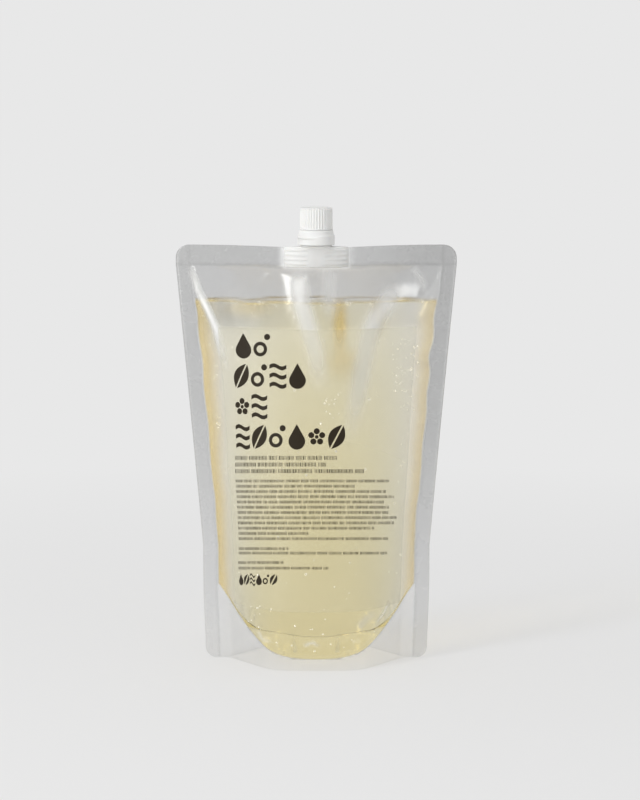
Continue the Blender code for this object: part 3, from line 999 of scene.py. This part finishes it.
def makeLiquidMaterial():
    # clear, coloured by its depth, with a shadow that is tinted rather than dark
    material, tree, shader = startMaterial("paleSoap")
    fill(tree, shader, {
        "Base Color": (1, 1, 1, 1),
        "Roughness": 0.0,
        "IOR": liquid["bend"],
        "Transmission Weight": 1.0,
    })
    depth = {"Color": liquid["colour"], "Density": liquid["density"]}
    absorb = addNode(tree, "ShaderNodeVolumeAbsorption", depth)
    shadow = addNode(tree, "ShaderNodeLightPath").outputs["Is Shadow Ray"]
    clear = addNode(tree, "ShaderNodeBsdfTransparent", {"Color": liquid["shadowTint"]})
    shown = mixShaders(tree, shadow, shader, clear)
    output = tree.nodes["Material Output"]
    fill(tree, output, {"Surface": shown.outputs[0], "Volume": absorb.outputs[0]})
    return material


def makeLiquid(name):
    # closed loops of points round the filling, one for each flat distance from the middle
    flat = (halfFree - liquid["edge"]) * closerAtEnds(liquid["columns"], 0.4)
    wallShare = 0.5 - 0.5 * np.cos(np.linspace(0, math.pi, liquid["wallRows"]))
    wallShare = 0.5 * wallShare + 0.5 * np.linspace(0, 1, liquid["wallRows"])
    low = sealHeight(flat) + liquid["aboveSeal"]
    high = np.maximum(waterline(flat), low + liquid["leastHeight"])
    z = low[:, None] + (high - low)[:, None] * wallShare[None, :]
    s = flat[:, None] + np.zeros_like(z)
    drawn = pinchDepth(s, z) * ramp(np.abs(s), pouch["pinchFrom"] * halfFree, halfFree)
    s = s - np.sign(s) * drawn
    front = filmPoint(s, z, -1, -liquid["inset"], folds="main")
    back = filmPoint(s, z, 1, -liquid["inset"], folds="main")
    front[..., 1] = np.minimum(front[..., 1], -liquid["halfGap"])
    back[..., 1] = np.maximum(back[..., 1], liquid["halfGap"])
    top = []
    for index in range(1, liquid["topSteps"]):
        share = 0.5 - 0.5 * math.cos(math.pi * index / liquid["topSteps"])
        point = front[:, -1] * (1 - share) + back[:, -1] * share
        room = np.minimum(np.abs(point[:, 1] - front[:, -1, 1]), np.abs(point[:, 1] - back[:, -1, 1]))
        climb = front[:, -1, 2] - pouch["level"]
        point[:, 2] = pouch["level"] + climb * np.exp(-room / liquid["climbReach"])
        top.append(point)
    floor = []
    rim = filmPoint(flat, sealHeight(flat), 1, -2 * layer - liquid["inset"], folds="none")
    for index in range(1, liquid["floorSteps"]):
        place = 1 - 2 * index / liquid["floorSteps"]
        point = rim.copy()
        point[:, 1] = np.maximum(rim[:, 1], liquid["halfGap"]) * place
        point[:, 2] = gussetHeight(flat, 1 - abs(place)) + liquid["aboveFloor"]
        floor.append(point)
    loops = np.concatenate([
        front,
        np.stack(top, axis=1),
        back[:, ::-1],
        np.stack(floor, axis=1),
    ], axis=1)
    columns, count = loops.shape[:2]
    faces = []
    for c in range(columns - 1):
        for i in range(count):
            j = (i + 1) % count
            faces.append((c * count + i, (c + 1) * count + i, (c + 1) * count + j, c * count + j))
    mirror = 2 * liquid["wallRows"] + liquid["topSteps"] - 2
    for c, turned in ((0, True), (columns - 1, False)):
        for i in range(count // 2):
            a = i
            b = (i + 1) % count
            farB = (mirror - b) % count
            farA = (mirror - a) % count
            quad = [c * count + k for k in (a, b, farB, farA)]
            quad = list(dict.fromkeys(quad))
            if len(quad) > 2:
                faces.append(tuple(quad[::-1] if turned else quad))
    return mendMesh(linkMesh(name, loops.reshape(-1, 3), faces), merge=0.002 * mm)


liquidMaterial = makeLiquidMaterial()
finish(makeLiquid("liquidSoap"), liquidMaterial, "pouch", "soap", "liquid_soap")
print("liquid made")

bubbles = {
    "seed": 21,
    "scattered": 110,
    "scatterAcross": (-68, 68),
    "scatterUp": (14, 211),
    "lineReach": 70.0,
    "lineStep": (3, 17),
    "sideLimit": 71,
    "small": 0.28 * mm,
    "large": 0.80 * mm,
    "pale": srgb(252, 251, 244),
    "core": 0.38,
    "rim": 0.6,
    "gloss": 0.12,
    "paintedGlow": 0.25,
}
# Clusters of bubbles as (flat distance, height, spread across, spread up, count) in mm
bubbleClusters = [
    (-67, 182, 2.5, 24, 26), (59, 186, 7, 11, 36), (61, 155, 5, 11, 34), (8, 157, 3, 6, 14),
    (56, 172, 5, 4, 14), (-34, 208, 12, 3, 10), (-66, 128, 2.5, 18, 12), (58, 100, 6, 20, 10),
    (0, 20, 30, 5, 9), (-40, 33, 10, 5, 6),
]
# Foam bubbles on the surface, as (flat distance, radius) in mm
foamBubbles = [
    (-66, 1.5), (-63, 0.9), (-34, 1.3), (-31.5, 0.8), (-17, 0.9),
    (18, 1.2), (20.5, 0.8), (43, 0.9), (64, 1.1),
]


def bubblePlaces():
    # clusters, then scattered ones, then a row along the level, all near the front film
    draw = random.Random(bubbles["seed"])
    places = []
    for flat, high, across, up, count in bubbleClusters:
        for _ in range(count):
            places.append((draw.gauss(flat, across), draw.gauss(high, up)))
    for _ in range(bubbles["scattered"]):
        places.append((draw.uniform(*bubbles["scatterAcross"]), draw.uniform(*bubbles["scatterUp"])))
    line = -bubbles["lineReach"]
    while line < bubbles["lineReach"]:
        places.append((line, float(waterline(np.array(line * mm))) / mm - 1.3))
        line += draw.uniform(*bubbles["lineStep"])
    points = []
    sizes = []
    for flat, high in places:
        size = bubbles["small"] + (bubbles["large"] - bubbles["small"]) * draw.random() ** 3
        s = np.array(flat * mm)
        z = np.array(high * mm)
        outside = abs(flat) > bubbles["sideLimit"]
        if outside or z < sealHeight(s) + 2 * mm or z > waterline(s) - 1.0 * mm:
            continue
        depth = liquid["inset"] + size * 1.25 + abs(draw.gauss(0, 0.8)) * mm
        point = filmPoint(s, z, -1, -depth, folds="main")
        if point[1] < -2.5 * mm:
            points.append(point)
            sizes.append(size)
    for flat, radius in foamBubbles:
        s = np.array(flat * mm)
        points.append(filmPoint(s, waterline(s) - 0.1 * radius * mm, -1, -(radius + 0.3) * mm, folds="main"))
        sizes.append(radius * mm)
    return points, sizes


def bubbleTree(material):
    # one fine ball on every point, as large as its size attribute says
    tree = bpy.data.node_groups.new("bubblesInSoap", "GeometryNodeTree")
    addSocket(tree, "INPUT", "Geometry", "Points")
    addSocket(tree, "INPUT", "Int", "Roundness", 3)
    addSocket(tree, "OUTPUT", "Geometry", "Bubbles")
    inside = addNode(tree, "NodeGroupInput").outputs
    ball = addNode(tree, "GeometryNodeMeshIcoSphere", {"Radius": 1.0, "Subdivisions": inside["Roundness"]})
    size = addNode(tree, "GeometryNodeInputNamedAttribute", {"Name": "size"}, data_type="FLOAT")
    spread = addNode(tree, "GeometryNodeInstanceOnPoints", {
        "Points": inside["Points"],
        "Instance": ball.outputs["Mesh"],
        "Scale": size.outputs["Attribute"],
    })
    real = addNode(tree, "GeometryNodeRealizeInstances", {"Geometry": spread.outputs["Instances"]})
    coat = addNode(tree, "GeometryNodeSetMaterial", {
        "Geometry": real.outputs["Geometry"],
        "Material": material,
    })
    addNode(tree, "NodeGroupOutput", {"Bubbles": coat.outputs["Geometry"]})
    return tree


def makeBubbleMaterial():
    # clear in the middle, with a pale rim and a faint painted glow, though no lamp is in them
    material, tree, shader = startMaterial("airInSoap")
    facing = addNode(tree, "ShaderNodeLayerWeight", {"Blend": 0.35}).outputs["Facing"]
    cover = mathNode(tree, "MULTIPLY", facing, bubbles["rim"])
    fill(tree, shader, {
        "Base Color": bubbles["pale"],
        # painted glow, so the bubbles show as pale specks
        "Emission Color": bubbles["pale"],
        "Emission Strength": bubbles["paintedGlow"],
        "Roughness": bubbles["gloss"],
        "Alpha": mathNode(tree, "ADD", cover, bubbles["core"], clamp=True),
    })
    return material


def makeBubbles(name):
    points, sizes = bubblePlaces()
    item = linkMesh(name, points, [], smooth=False)
    item.data.attributes.new("size", "FLOAT", "POINT").data.foreach_set("value", sizes)
    material = makeBubbleMaterial()
    tree = bubbleTree(material)
    modifier = item.modifiers.new("bubbles", "NODES")
    modifier.node_group = tree
    settle(item)
    item.data.shade_smooth()
    return finish(item, material, "pouch", "soap")


makeBubbles("soapBubbles")
print("bubbles made")


# Label and its print


def makeLabel(name):
    flat = np.linspace(labelPlan["left"], labelPlan["right"], labelPlan["columns"])
    high = np.linspace(labelPlan["low"], labelPlan["high"], labelPlan["rows"])
    s, z = np.meshgrid(flat, high)
    return thinSolid(name, filmPoint(s, z, -1, labelPlan["lift"]), labelPlan["wall"])


labelMaterial = smudgedMaterial("frostedLabel", labelPlan)
finish(makeLabel("frontLabel"), labelMaterial, "pouch", "frosted_label", "front_label")

# Print: simple soap motifs in rows, then lines of small strokes. Places are in mm on the flat film.
printPlan = {
    "surface": (2600, 120, 0.16),
    "clean": srgb(48, 40, 27),
    "smudged": srgb(60, 51, 36),
    "roughness": 0.42,
    "grainDepth": 0.01 * mm,
    "more": {"Specular IOR Level": 0.2},
    "thickness": 0.02 * mm,
    "lift": labelPlan["lift"] + labelPlan["wall"] / 2 + 0.012 * mm,
    "cell": 2.0,
    "cutAcross": (-60, 60),
    "cutUp": (45, 205),
    "cutShift": 0.013,
    "motifWidth": 10.6,
    "motifHeight": 14.8,
    "motifGap": 0.95,
    "levelAt": -30.0,
    "seed": 4,
}
# Rows of motifs: height, left edge, scale and motifs
motifRows = [
    (189.4, -48.8, 1.0, ("drop", "bubble")),
    (171.9, -50.8, 1.0, ("leaf", "bubble", "waves", "drop")),
    (154.2, -50.9, 1.0, ("blossom", "waves")),
    (136.7, -51.2, 1.0, ("waves", "leaf", "bubble", "drop", "blossom", "leaf")),
    (53.3, -53.3, 0.44, ("drop", "leaf", "waves", "drop", "bubble", "leaf")),
]
# Paragraphs of strokes: stroke height, left edge, height of the first line, line spacing and right edges
paragraphs = [
    (2.3, -52.2, 124.5, 3.85, (12, 6, 28.5)),
    (1.65, -52.4, 111.1, 3.06, (46.5, 23, 44, 51, 43, 47, 46.5, 54, 52, 36, -4, 47.5)),
    (1.65, -52.8, 71.6, 2.6, (-16, 47)),
    (1.65, -53.0, 63.4, 3.3, (-19, 7)),
]


def levelHeight(s, z):
    # where a line has to lie on the bulging film to look straight from in front
    place = filmPoint(s, z, -1, folds="none")
    middle = filmPoint(np.full_like(s, printPlan["levelAt"] * mm), z, -1, folds="none")
    eyeSlope = (stage["cameraPlace"][2] - z) / (place[..., 1] - stage["cameraPlace"][1])
    return z - (place[..., 1] - middle[..., 1]) * eyeSlope


def addOutline(shape, points):
    verts = [shape.verts.new((x, y, 0)) for x, y in points]
    shape.faces.new(verts)


def discPoints(x, y, radius, steps=28):
    turns = [2 * math.pi * i / steps for i in range(steps)]
    return [(x + radius * math.cos(t), y + radius * math.sin(t)) for t in turns]


def addRing(shape, x, y, outer, inner, steps=40):
    rings = []
    for radius in (outer, inner):
        rings.append([shape.verts.new((*place, 0)) for place in discPoints(x, y, radius, steps)])
    for i in range(steps):
        j = (i + 1) % steps
        shape.faces.new((rings[0][i], rings[0][j], rings[1][j], rings[1][i]))


def addDrop(shape, x, y, width, height):
    radius = width * 0.46
    low = y - height / 2 + radius
    tip = y + height / 2
    swing = math.acos(radius / (tip - low))
    start = math.pi / 2 + swing
    points = [(x, tip)]
    steps = 30
    for i in range(steps + 1):
        turn = start + (2 * math.pi - 2 * swing) * i / steps
        points.append((x + radius * math.cos(turn), low + radius * math.sin(turn)))
    addOutline(shape, points)


def addBubbleMark(shape, x, y, width, height):
    outer = width * 0.40
    addRing(shape, x - width * 0.10, y - height * 0.13, outer, outer * 0.52)
    addOutline(shape, discPoints(x + width * 0.30, y + height * 0.34, width * 0.17))


def addLeaf(shape, x, y, width, height):
    # two half leaves on either side of a clear midrib, leaning to the right
    lean = math.radians(28)
    long = height * 0.52
    bow = width * 0.40
    for side in (-1, 1):
        points = []
        steps = 14
        for i in range(steps + 1):
            share = -1 + 2 * i / steps
            points.append((side * (0.45 + bow * (1 - share * share)), share * long))
        if side > 0:
            points = points[::-1]
        turned = []
        for across, along in points:
            px = x + across * math.cos(lean) + along * math.sin(lean)
            py = y - across * math.sin(lean) + along * math.cos(lean)
            turned.append((px, py))
        addOutline(shape, turned)


def addWaves(shape, x, y, width, height):
    stroke = height * 0.155
    for row in (-1, 0, 1):
        steps = 24
        top = []
        low = []
        for i in range(steps + 1):
            share = i / steps
            px = x - width * 0.48 + width * 0.96 * share
            py = y + row * height * 0.36 + 0.9 * math.sin(2 * math.pi * share)
            top.append((px, py + stroke / 2))
            low.append((px, py - stroke / 2))
        addOutline(shape, low + top[::-1])


def addBlossom(shape, x, y, width, height):
    petals = 5
    out = width * 0.31
    for i in range(petals):
        turn = math.pi / 2 + 2 * math.pi * i / petals
        petal = discPoints(x + out * math.cos(turn), y + out * math.sin(turn), width * 0.165, 22)
        addOutline(shape, petal)
    addOutline(shape, discPoints(x, y, width * 0.10, 18))


motifs = {
    "drop": addDrop,
    "bubble": addBubbleMark,
    "leaf": addLeaf,
    "waves": addWaves,
    "blossom": addBlossom,
}
# Strokes in each word, and widths and gaps as shares of the stroke height
strokes = {"inWord": (5, 26), "widths": (0.12, 0.15, 0.24), "gap": (0.16, 0.26), "wordGap": 0.42}


def addStrokeLine(shape, draw, y, left, right, height):
    # words of upright strokes, all of one height, with gaps between the words
    x = left
    while x < right - height * 0.5:
        for _ in range(draw.randint(*strokes["inWord"])):
            wide = height * draw.choice(strokes["widths"])
            if x + wide > right:
                break
            base = y - height / 2
            addOutline(shape, [(x, base), (x + wide, base), (x + wide, base + height), (x, base + height)])
            x += wide + height * draw.uniform(*strokes["gap"])
        x += height * strokes["wordGap"]


def makePrint(name):
    draw = random.Random(printPlan["seed"])
    shape = bmesh.new()
    for y, left, scale, row in motifRows:
        wide = printPlan["motifWidth"] * scale
        tall = printPlan["motifHeight"] * scale
        x = left + wide / 2
        for motif in row:
            motifs[motif](shape, x, y, wide, tall)
            x += wide + printPlan["motifGap"] * scale
    # cut into cells, so that large outlines follow the film
    for axis, (low, high) in enumerate((printPlan["cutAcross"], printPlan["cutUp"])):
        place = low
        while place < high:
            point = [0, 0, 0]
            normal = [0, 0, 0]
            point[axis] = place + printPlan["cutShift"]
            normal[axis] = 1
            geometry = shape.verts[:] + shape.edges[:] + shape.faces[:]
            bmesh.ops.bisect_plane(shape, geom=geometry, plane_co=point, plane_no=normal, dist=0.0001)
            place += printPlan["cell"]
    for height, left, first, spacing, ends in paragraphs:
        for index, right in enumerate(ends):
            addStrokeLine(shape, draw, first - spacing * index, left, right, height)
    flat = np.array([vert.co.x for vert in shape.verts]) * mm
    high = np.array([vert.co.y for vert in shape.verts]) * mm
    high = levelHeight(flat, high)
    for vert, point in zip(shape.verts, filmPoint(flat, high, -1, printPlan["lift"])):
        vert.co = point
    mesh = bpy.data.meshes.new(name)
    shape.to_mesh(mesh)
    shape.free()
    item = linkObject(name, mesh)
    body = item.modifiers.new("thickness", "SOLIDIFY")
    body.thickness = printPlan["thickness"]
    body.offset = 1.0
    return settle(item)


finish(makePrint("labelPrint"), smudgedMaterial("brownInk", printPlan), "pouch", "frosted_label")
print("label made")


# Spout, tamper ring and cap

plastic = {
    "surface": (2200, 160, 0.14),
    "clean": srgb(249, 249, 247),
    "smudged": srgb(243, 242, 237),
    "roughness": 0.34,
    "grainDepth": 0.03 * mm,
    "more": {
        "Subsurface Weight": 0.15,
        "Subsurface Radius": (1.0, 0.9, 0.8),
        "Subsurface Scale": 0.8 * mm,
    },
}


def roundedProfile(points, radius, steps=4):
    # softens every corner of an open or closed profile of (radius, height)
    result = []
    count = len(points)
    for index, (r, z) in enumerate(points):
        before = points[index - 1]
        after = points[(index + 1) % count]
        if r < 1e-6:
            result.append((r, z))
            continue
        first = math.dist((r, z), before)
        second = math.dist((r, z), after)
        cut = min(radius, first * 0.45, second * 0.45)
        start = [r + (before[0] - r) * cut / first, z + (before[1] - z) * cut / first]
        end = [r + (after[0] - r) * cut / second, z + (after[1] - z) * cut / second]
        for step in range(steps + 1):
            t = step / steps
            a = (1 - t) ** 2
            b = 2 * t * (1 - t)
            c = t * t
            result.append((a * start[0] + b * r + c * end[0], a * start[1] + b * z + c * end[1]))
    return result


def turnedMesh(name, profile, steps=144):
    # round solid from a closed profile, or one that starts and ends on the axis
    startsOnAxis = profile[0][0] < 1e-6
    vertices = []
    for r, z in profile:
        for step in range(steps):
            turn = 2 * math.pi * step / steps
            vertices.append((r * math.cos(turn), r * math.sin(turn), z))
    faces = []
    rings = len(profile)
    for k in range(rings - 1 if startsOnAxis else rings):
        a = k * steps
        b = (k + 1) % rings * steps
        for step in range(steps):
            beyond = (step + 1) % steps
            faces.append((a + step, b + step, b + beyond, a + beyond))
    return mendMesh(linkMesh(name, vertices, faces), merge=0.001 * mm, shortest=0.0005 * mm)


plasticMaterial = smudgedMaterial("mouldedWhite", plastic)

spout = {
    "boatLength": 38 * mm,
    "boatThickness": 12 * mm,
    "boatHeight": 12.2 * mm,
    "boatTip": 1.2 * mm,
    "ribs": 4,
    "ribOut": 0.35 * mm,
    "ribShare": 0.56,
    "panel": 5.3 * mm,
    "neckRadius": 7.4 * mm,
    "flangeRadius": 9.2 * mm,
    "flangeThickness": 0.9 * mm,
    "beadRadius": 8.8 * mm,
    "beadHeight": 1.2 * mm,
    "bore": 4.5 * mm,
    "wellRadius": 5.6 * mm,
    "wellDepth": 3.0 * mm,
    "threadOut": 0.5 * mm,
    "threadPitch": 3.0 * mm,
    "threadTurns": 1.9,
    "threadStart": 1.4 * mm,
}
boatTop = spoutLow.z + spout["boatHeight"]
flangeTop = boatTop + spout["flangeThickness"]


def tubeMesh(name, rings):
    # solid through rings of points, with a face over each end
    count = len(rings[0])
    faces = []
    for r in range(len(rings) - 1):
        a = r * count
        b = a + count
        for i in range(count):
            j = (i + 1) % count
            faces.append((a + i, a + j, b + j, b + i))
    faces.append(tuple(range(count)))
    faces.append(tuple(range((len(rings) - 1) * count, len(rings) * count))[::-1])
    return linkMesh(name, [point for ring in rings for point in ring], faces)


def boatOutline(extra, steps=120):
    # pointed oval from above; extra(x) is how far ribs or the plain middle stand out
    half = spout["boatLength"] / 2
    points = []
    for side in (-1, 1):
        for index in range(steps // 2 + 1):
            x = side * half * math.cos(math.pi * index / (steps // 2))
            belly = (spout["boatThickness"] - spout["boatTip"]) / 2 * (1 - (x / half) ** 2)
            points.append((x, side * (spout["boatTip"] / 2 + belly + extra(x))))
    return points


def makeBoat(name):
    # the weld insert in level rings, with ribs across it and trimmed edges above and below
    pitch = spout["boatHeight"] / (spout["ribs"] + 0.5)
    levels = 64
    rings = []
    for level in range(levels + 1):
        share = level / levels
        z = spoutLow.z + spout["boatHeight"] * share
        wave = (z - spoutLow.z - 0.5 * pitch) / pitch
        inRib = 0 <= wave < spout["ribs"] and (wave % 1) < spout["ribShare"]
        rib = math.sin(math.pi * (wave % 1) / spout["ribShare"]) ** 0.6 if inRib else 0.0
        edge = min(share, 1 - share) * spout["boatHeight"]
        trim = -0.35 * mm * max(1 - edge / (0.4 * mm), 0) ** 2

        def extra(x, rib=rib, trim=trim):
            plain = 1 - float(ramp(abs(x), spout["panel"], spout["panel"] + 0.5 * mm))
            away = 1 - float(ramp(abs(x), spout["boatLength"] / 2 - 2 * mm, spout["boatLength"] / 2))
            return spout["ribOut"] * max(rib, plain) * away + trim * away

        rings.append([(x, y, z) for x, y in boatOutline(extra)])
    return mendMesh(tubeMesh(name, rings), merge=0.001 * mm)


def makeThread(name):
    # rounded ridge that winds up the neck, fading in and out
    turns = spout["threadTurns"]
    steps = 150
    start = ringHigh.z + spout["threadStart"]
    section = [
        (-0.25, -0.75), (0.25, -0.55), (0.5, -0.25), (0.55, 0.0),
        (0.5, 0.25), (0.25, 0.55), (-0.25, 0.75),
    ]
    rings = []
    for step in range(steps + 1):
        share = step / steps
        turn = 2 * math.pi * turns * share
        points = []
        fade = float(ramp(share, 0, 0.06) * (1 - ramp(share, 0.94, 1)))
        for out, up in section:
            r = spout["neckRadius"] + spout["threadOut"] * (out * 2 * fade if out > 0 else out)
            z = start + spout["threadPitch"] * turns * share + up * mm
            points.append((r * math.cos(turn), r * math.sin(turn), z))
        rings.append(points)
    return mendMesh(tubeMesh(name, rings))


def joinWith(item, other, operation):
    modifier = item.modifiers.new(other.name, "BOOLEAN")
    modifier.operation = operation
    modifier.object = other
    settle(item)
    bpy.data.objects.remove(other)
    return item


def makeSpout(name):
    item = makeBoat(name)
    neckTop = spoutHigh.z
    wellFloor = boatTop - spout["wellDepth"]
    inside = spout["bore"] - 0.4 * mm
    beadLow = ringLow.z + 4.3 * mm
    profile = [
        (spout["neckRadius"], neckTop),
        (spout["neckRadius"], beadLow + spout["beadHeight"] + 0.7 * mm),
        (spout["beadRadius"], beadLow + spout["beadHeight"]),
        (spout["beadRadius"], beadLow),
        (spout["neckRadius"], beadLow),
        (spout["neckRadius"], flangeTop),
        (spout["flangeRadius"], flangeTop),
        (spout["flangeRadius"], boatTop),
        (spout["wellRadius"], boatTop),
        (spout["wellRadius"], wellFloor),
        (inside, wellFloor),
        (inside, neckTop),
    ]
    joinWith(item, turnedMesh("neck", roundedProfile(profile, 0.35 * mm, 3), 120), "UNION")
    joinWith(item, makeThread("thread"), "UNION")
    boreHigh = neckTop + 5 * mm
    boreLow = spoutLow.z - 5 * mm
    boreProfile = [(0, boreHigh), (spout["bore"], boreHigh), (spout["bore"], boreLow), (0, boreLow)]
    joinWith(item, turnedMesh("bore", boreProfile, 96), "DIFFERENCE")
    return shadeAll(item, 38)


finish(makeSpout("weldedSpout"), plasticMaterial, "pouch", "white_plastic", "spout")
print("spout made")

ring = {"radius": 10.9 * mm, "wall": 1.4 * mm, "shoulder": 2.9 * mm, "camDrop": 1.7 * mm}


def makeRing(name):
    # band with a lip under the bead of the neck, and a shoulder that dips on two sides
    inner = ring["radius"] - ring["wall"]
    lip = spout["neckRadius"] + 0.6 * mm
    lipLow = ringLow.z + 2.15 * mm
    shoulder = ringHigh.z - ring["shoulder"]
    profile = [
        (capRadius - 0.35 * mm, ringHigh.z + 0.22 * mm),
        (capRadius - 0.1 * mm, ringHigh.z - 0.02 * mm),
        (capRadius + 0.35 * mm, ringHigh.z - 0.3 * mm),
        (capRadius + 0.45 * mm, shoulder + 0.6 * mm),
        (ring["radius"], shoulder - 0.3 * mm),
        (ring["radius"], shoulder - 1.6 * mm),
        (ring["radius"], ringLow.z),
        (inner, ringLow.z),
        (inner, lipLow - 0.5 * mm),
        (lip, lipLow),
        (lip, lipLow + 1.0 * mm),
        (spout["beadRadius"] + 0.3 * mm, lipLow + 1.5 * mm),
        (spout["beadRadius"] + 0.3 * mm, ringHigh.z),
    ]
    item = turnedMesh(name, roundedProfile(profile, 0.3 * mm, 3), 180)
    for vert in item.data.vertices:
        radius = math.hypot(vert.co.x, vert.co.y)
        turn = (math.degrees(math.atan2(vert.co.y, vert.co.x)) + 180) % 180 / 180
        cam = (1 - float(ramp(turn, 0.40, 0.62))) * float(ramp(turn, 0.0, 0.06))
        rising = ramp(vert.co.z, shoulder - 1.7 * mm, shoulder - 0.4 * mm)
        fading = 1 - ramp(vert.co.z, shoulder + 0.7 * mm, ringHigh.z - 0.35 * mm)
        if radius > capRadius:
            vert.co.z -= ring["camDrop"] * cam * float(rising * fading)
    return shadeAll(item, 42)


finish(makeRing("tamperRing"), plasticMaterial, "pouch", "white_plastic", "tamper_ring")

cap = {
    "ribs": 36,
    "ribDepth": 0.6 * mm,
    "draft": 0.22 * mm,
    "sideWall": 1.6 * mm,
    "topWall": 1.2 * mm,
    "edge": 0.8 * mm,
    "skirt": 0.9 * mm,
    "rows": 22,
}


def ribTree():
    # pushes the side wall in between evenly spaced round ribs
    tree = bpy.data.node_groups.new("capRibs", "GeometryNodeTree")
    addSocket(tree, "INPUT", "Geometry", "Cap")
    for name in ("Rib Count", "Rib Depth", "Low", "High", "Fade", "Wall Radius"):
        addSocket(tree, "INPUT", "Float", name)
    addSocket(tree, "OUTPUT", "Geometry", "Cap")
    inside = addNode(tree, "NodeGroupInput").outputs
    place = addNode(tree, "GeometryNodeInputPosition").outputs[0]
    x, y, z = addNode(tree, "ShaderNodeSeparateXYZ", {0: place}).outputs
    flat = addNode(tree, "ShaderNodeCombineXYZ", {0: x, 1: y}).outputs[0]
    length = addNode(tree, "ShaderNodeVectorMath", {0: flat}, operation="LENGTH").outputs["Value"]
    outward = addNode(tree, "ShaderNodeVectorMath", {0: flat}, operation="NORMALIZE").outputs[0]
    spin = mathNode(tree, "MULTIPLY", mathNode(tree, "ARCTAN2", y, x), inside["Rib Count"])
    swing = mathNode(tree, "SINE", mathNode(tree, "MULTIPLY", spin, 0.5))
    dip = mathNode(tree, "POWER", mathNode(tree, "ABSOLUTE", swing), 2.4)
    rise = mathNode(tree, "SUBTRACT", z, inside["Low"])
    fall = mathNode(tree, "SUBTRACT", inside["High"], z)
    above = mathNode(tree, "DIVIDE", rise, inside["Fade"], clamp=True)
    below = mathNode(tree, "DIVIDE", fall, inside["Fade"], clamp=True)
    onWall = mathNode(tree, "GREATER_THAN", length, inside["Wall Radius"])
    depth = mathNode(tree, "MULTIPLY", dip, inside["Rib Depth"])
    for share in (above, below, onWall):
        depth = mathNode(tree, "MULTIPLY", depth, share)
    inward = mathNode(tree, "MULTIPLY", depth, -1.0)
    offset = addNode(tree, "ShaderNodeVectorMath", {0: outward, "Scale": inward}, operation="SCALE")
    move = addNode(tree, "GeometryNodeSetPosition", {"Geometry": inside["Cap"], "Offset": offset.outputs[0]})
    addNode(tree, "NodeGroupOutput", {"Cap": move.outputs["Geometry"]})
    return tree


def setInput(modifier, name, value):
    for socket in modifier.node_group.interface.items_tree:
        if socket.item_type == "SOCKET" and socket.in_out == "INPUT" and socket.name == name:
            modifier[socket.identifier] = value


def makeCap(name):
    inner = capRadius - cap["sideWall"]
    low = capLow.z
    top = capHigh.z
    crown = capRadius - cap["draft"]
    sideTop = top - cap["edge"]
    sideLow = low + cap["skirt"]
    profile = [
        (0, top - 0.12 * mm),
        (1.1 * mm, top - 0.12 * mm),
        (1.3 * mm, top - 0.22 * mm),
        (capRadius * 0.62, top - 0.2 * mm),
        (capRadius * 0.74, top),
        (crown - cap["edge"], top),
    ]
    for turn in (0.4, 0.8, 1.2):
        inward = cap["edge"] * (1 - math.sin(turn))
        profile.append((crown - inward, top - cap["edge"] * (1 - math.cos(turn))))
    for row in range(cap["rows"] + 1):
        share = row / cap["rows"]
        profile.append((capRadius - cap["draft"] * (1 - share), sideTop - (sideTop - sideLow) * share))
    profile += [
        (capRadius, low + 0.25 * mm),
        (capRadius - 0.2 * mm, low),
        (inner, low),
        (inner, top - cap["topWall"]),
        (0, top - cap["topWall"]),
    ]
    item = turnedMesh(name, profile, cap["ribs"] * 10)
    modifier = item.modifiers.new("ribs", "NODES")
    modifier.node_group = ribTree()
    sizes = {
        "Rib Count": float(cap["ribs"]),
        "Rib Depth": cap["ribDepth"],
        "Low": low + cap["skirt"] * 0.6,
        "High": top - cap["edge"] * 0.2,
        "Fade": 0.7 * mm,
        "Wall Radius": capRadius * 0.93,
    }
    for key, value in sizes.items():
        setInput(modifier, key, value)
    settle(item)
    return shadeAll(item, 50)


finish(makeCap("screwCap"), plasticMaterial, "cap", "white_plastic", "screw_cap")


foam = {
    "surface": (3200, 200, 0.2),
    "clean": srgb(243, 243, 240),
    "smudged": srgb(243, 243, 240),
    "roughness": 0.6,
    "grainDepth": 0.08 * mm,
}
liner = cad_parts["cap_liner"]
liner.data.materials.clear()
liner.data.materials.append(smudgedMaterial("linerFoam", foam))
print("spout, ring and cap made")
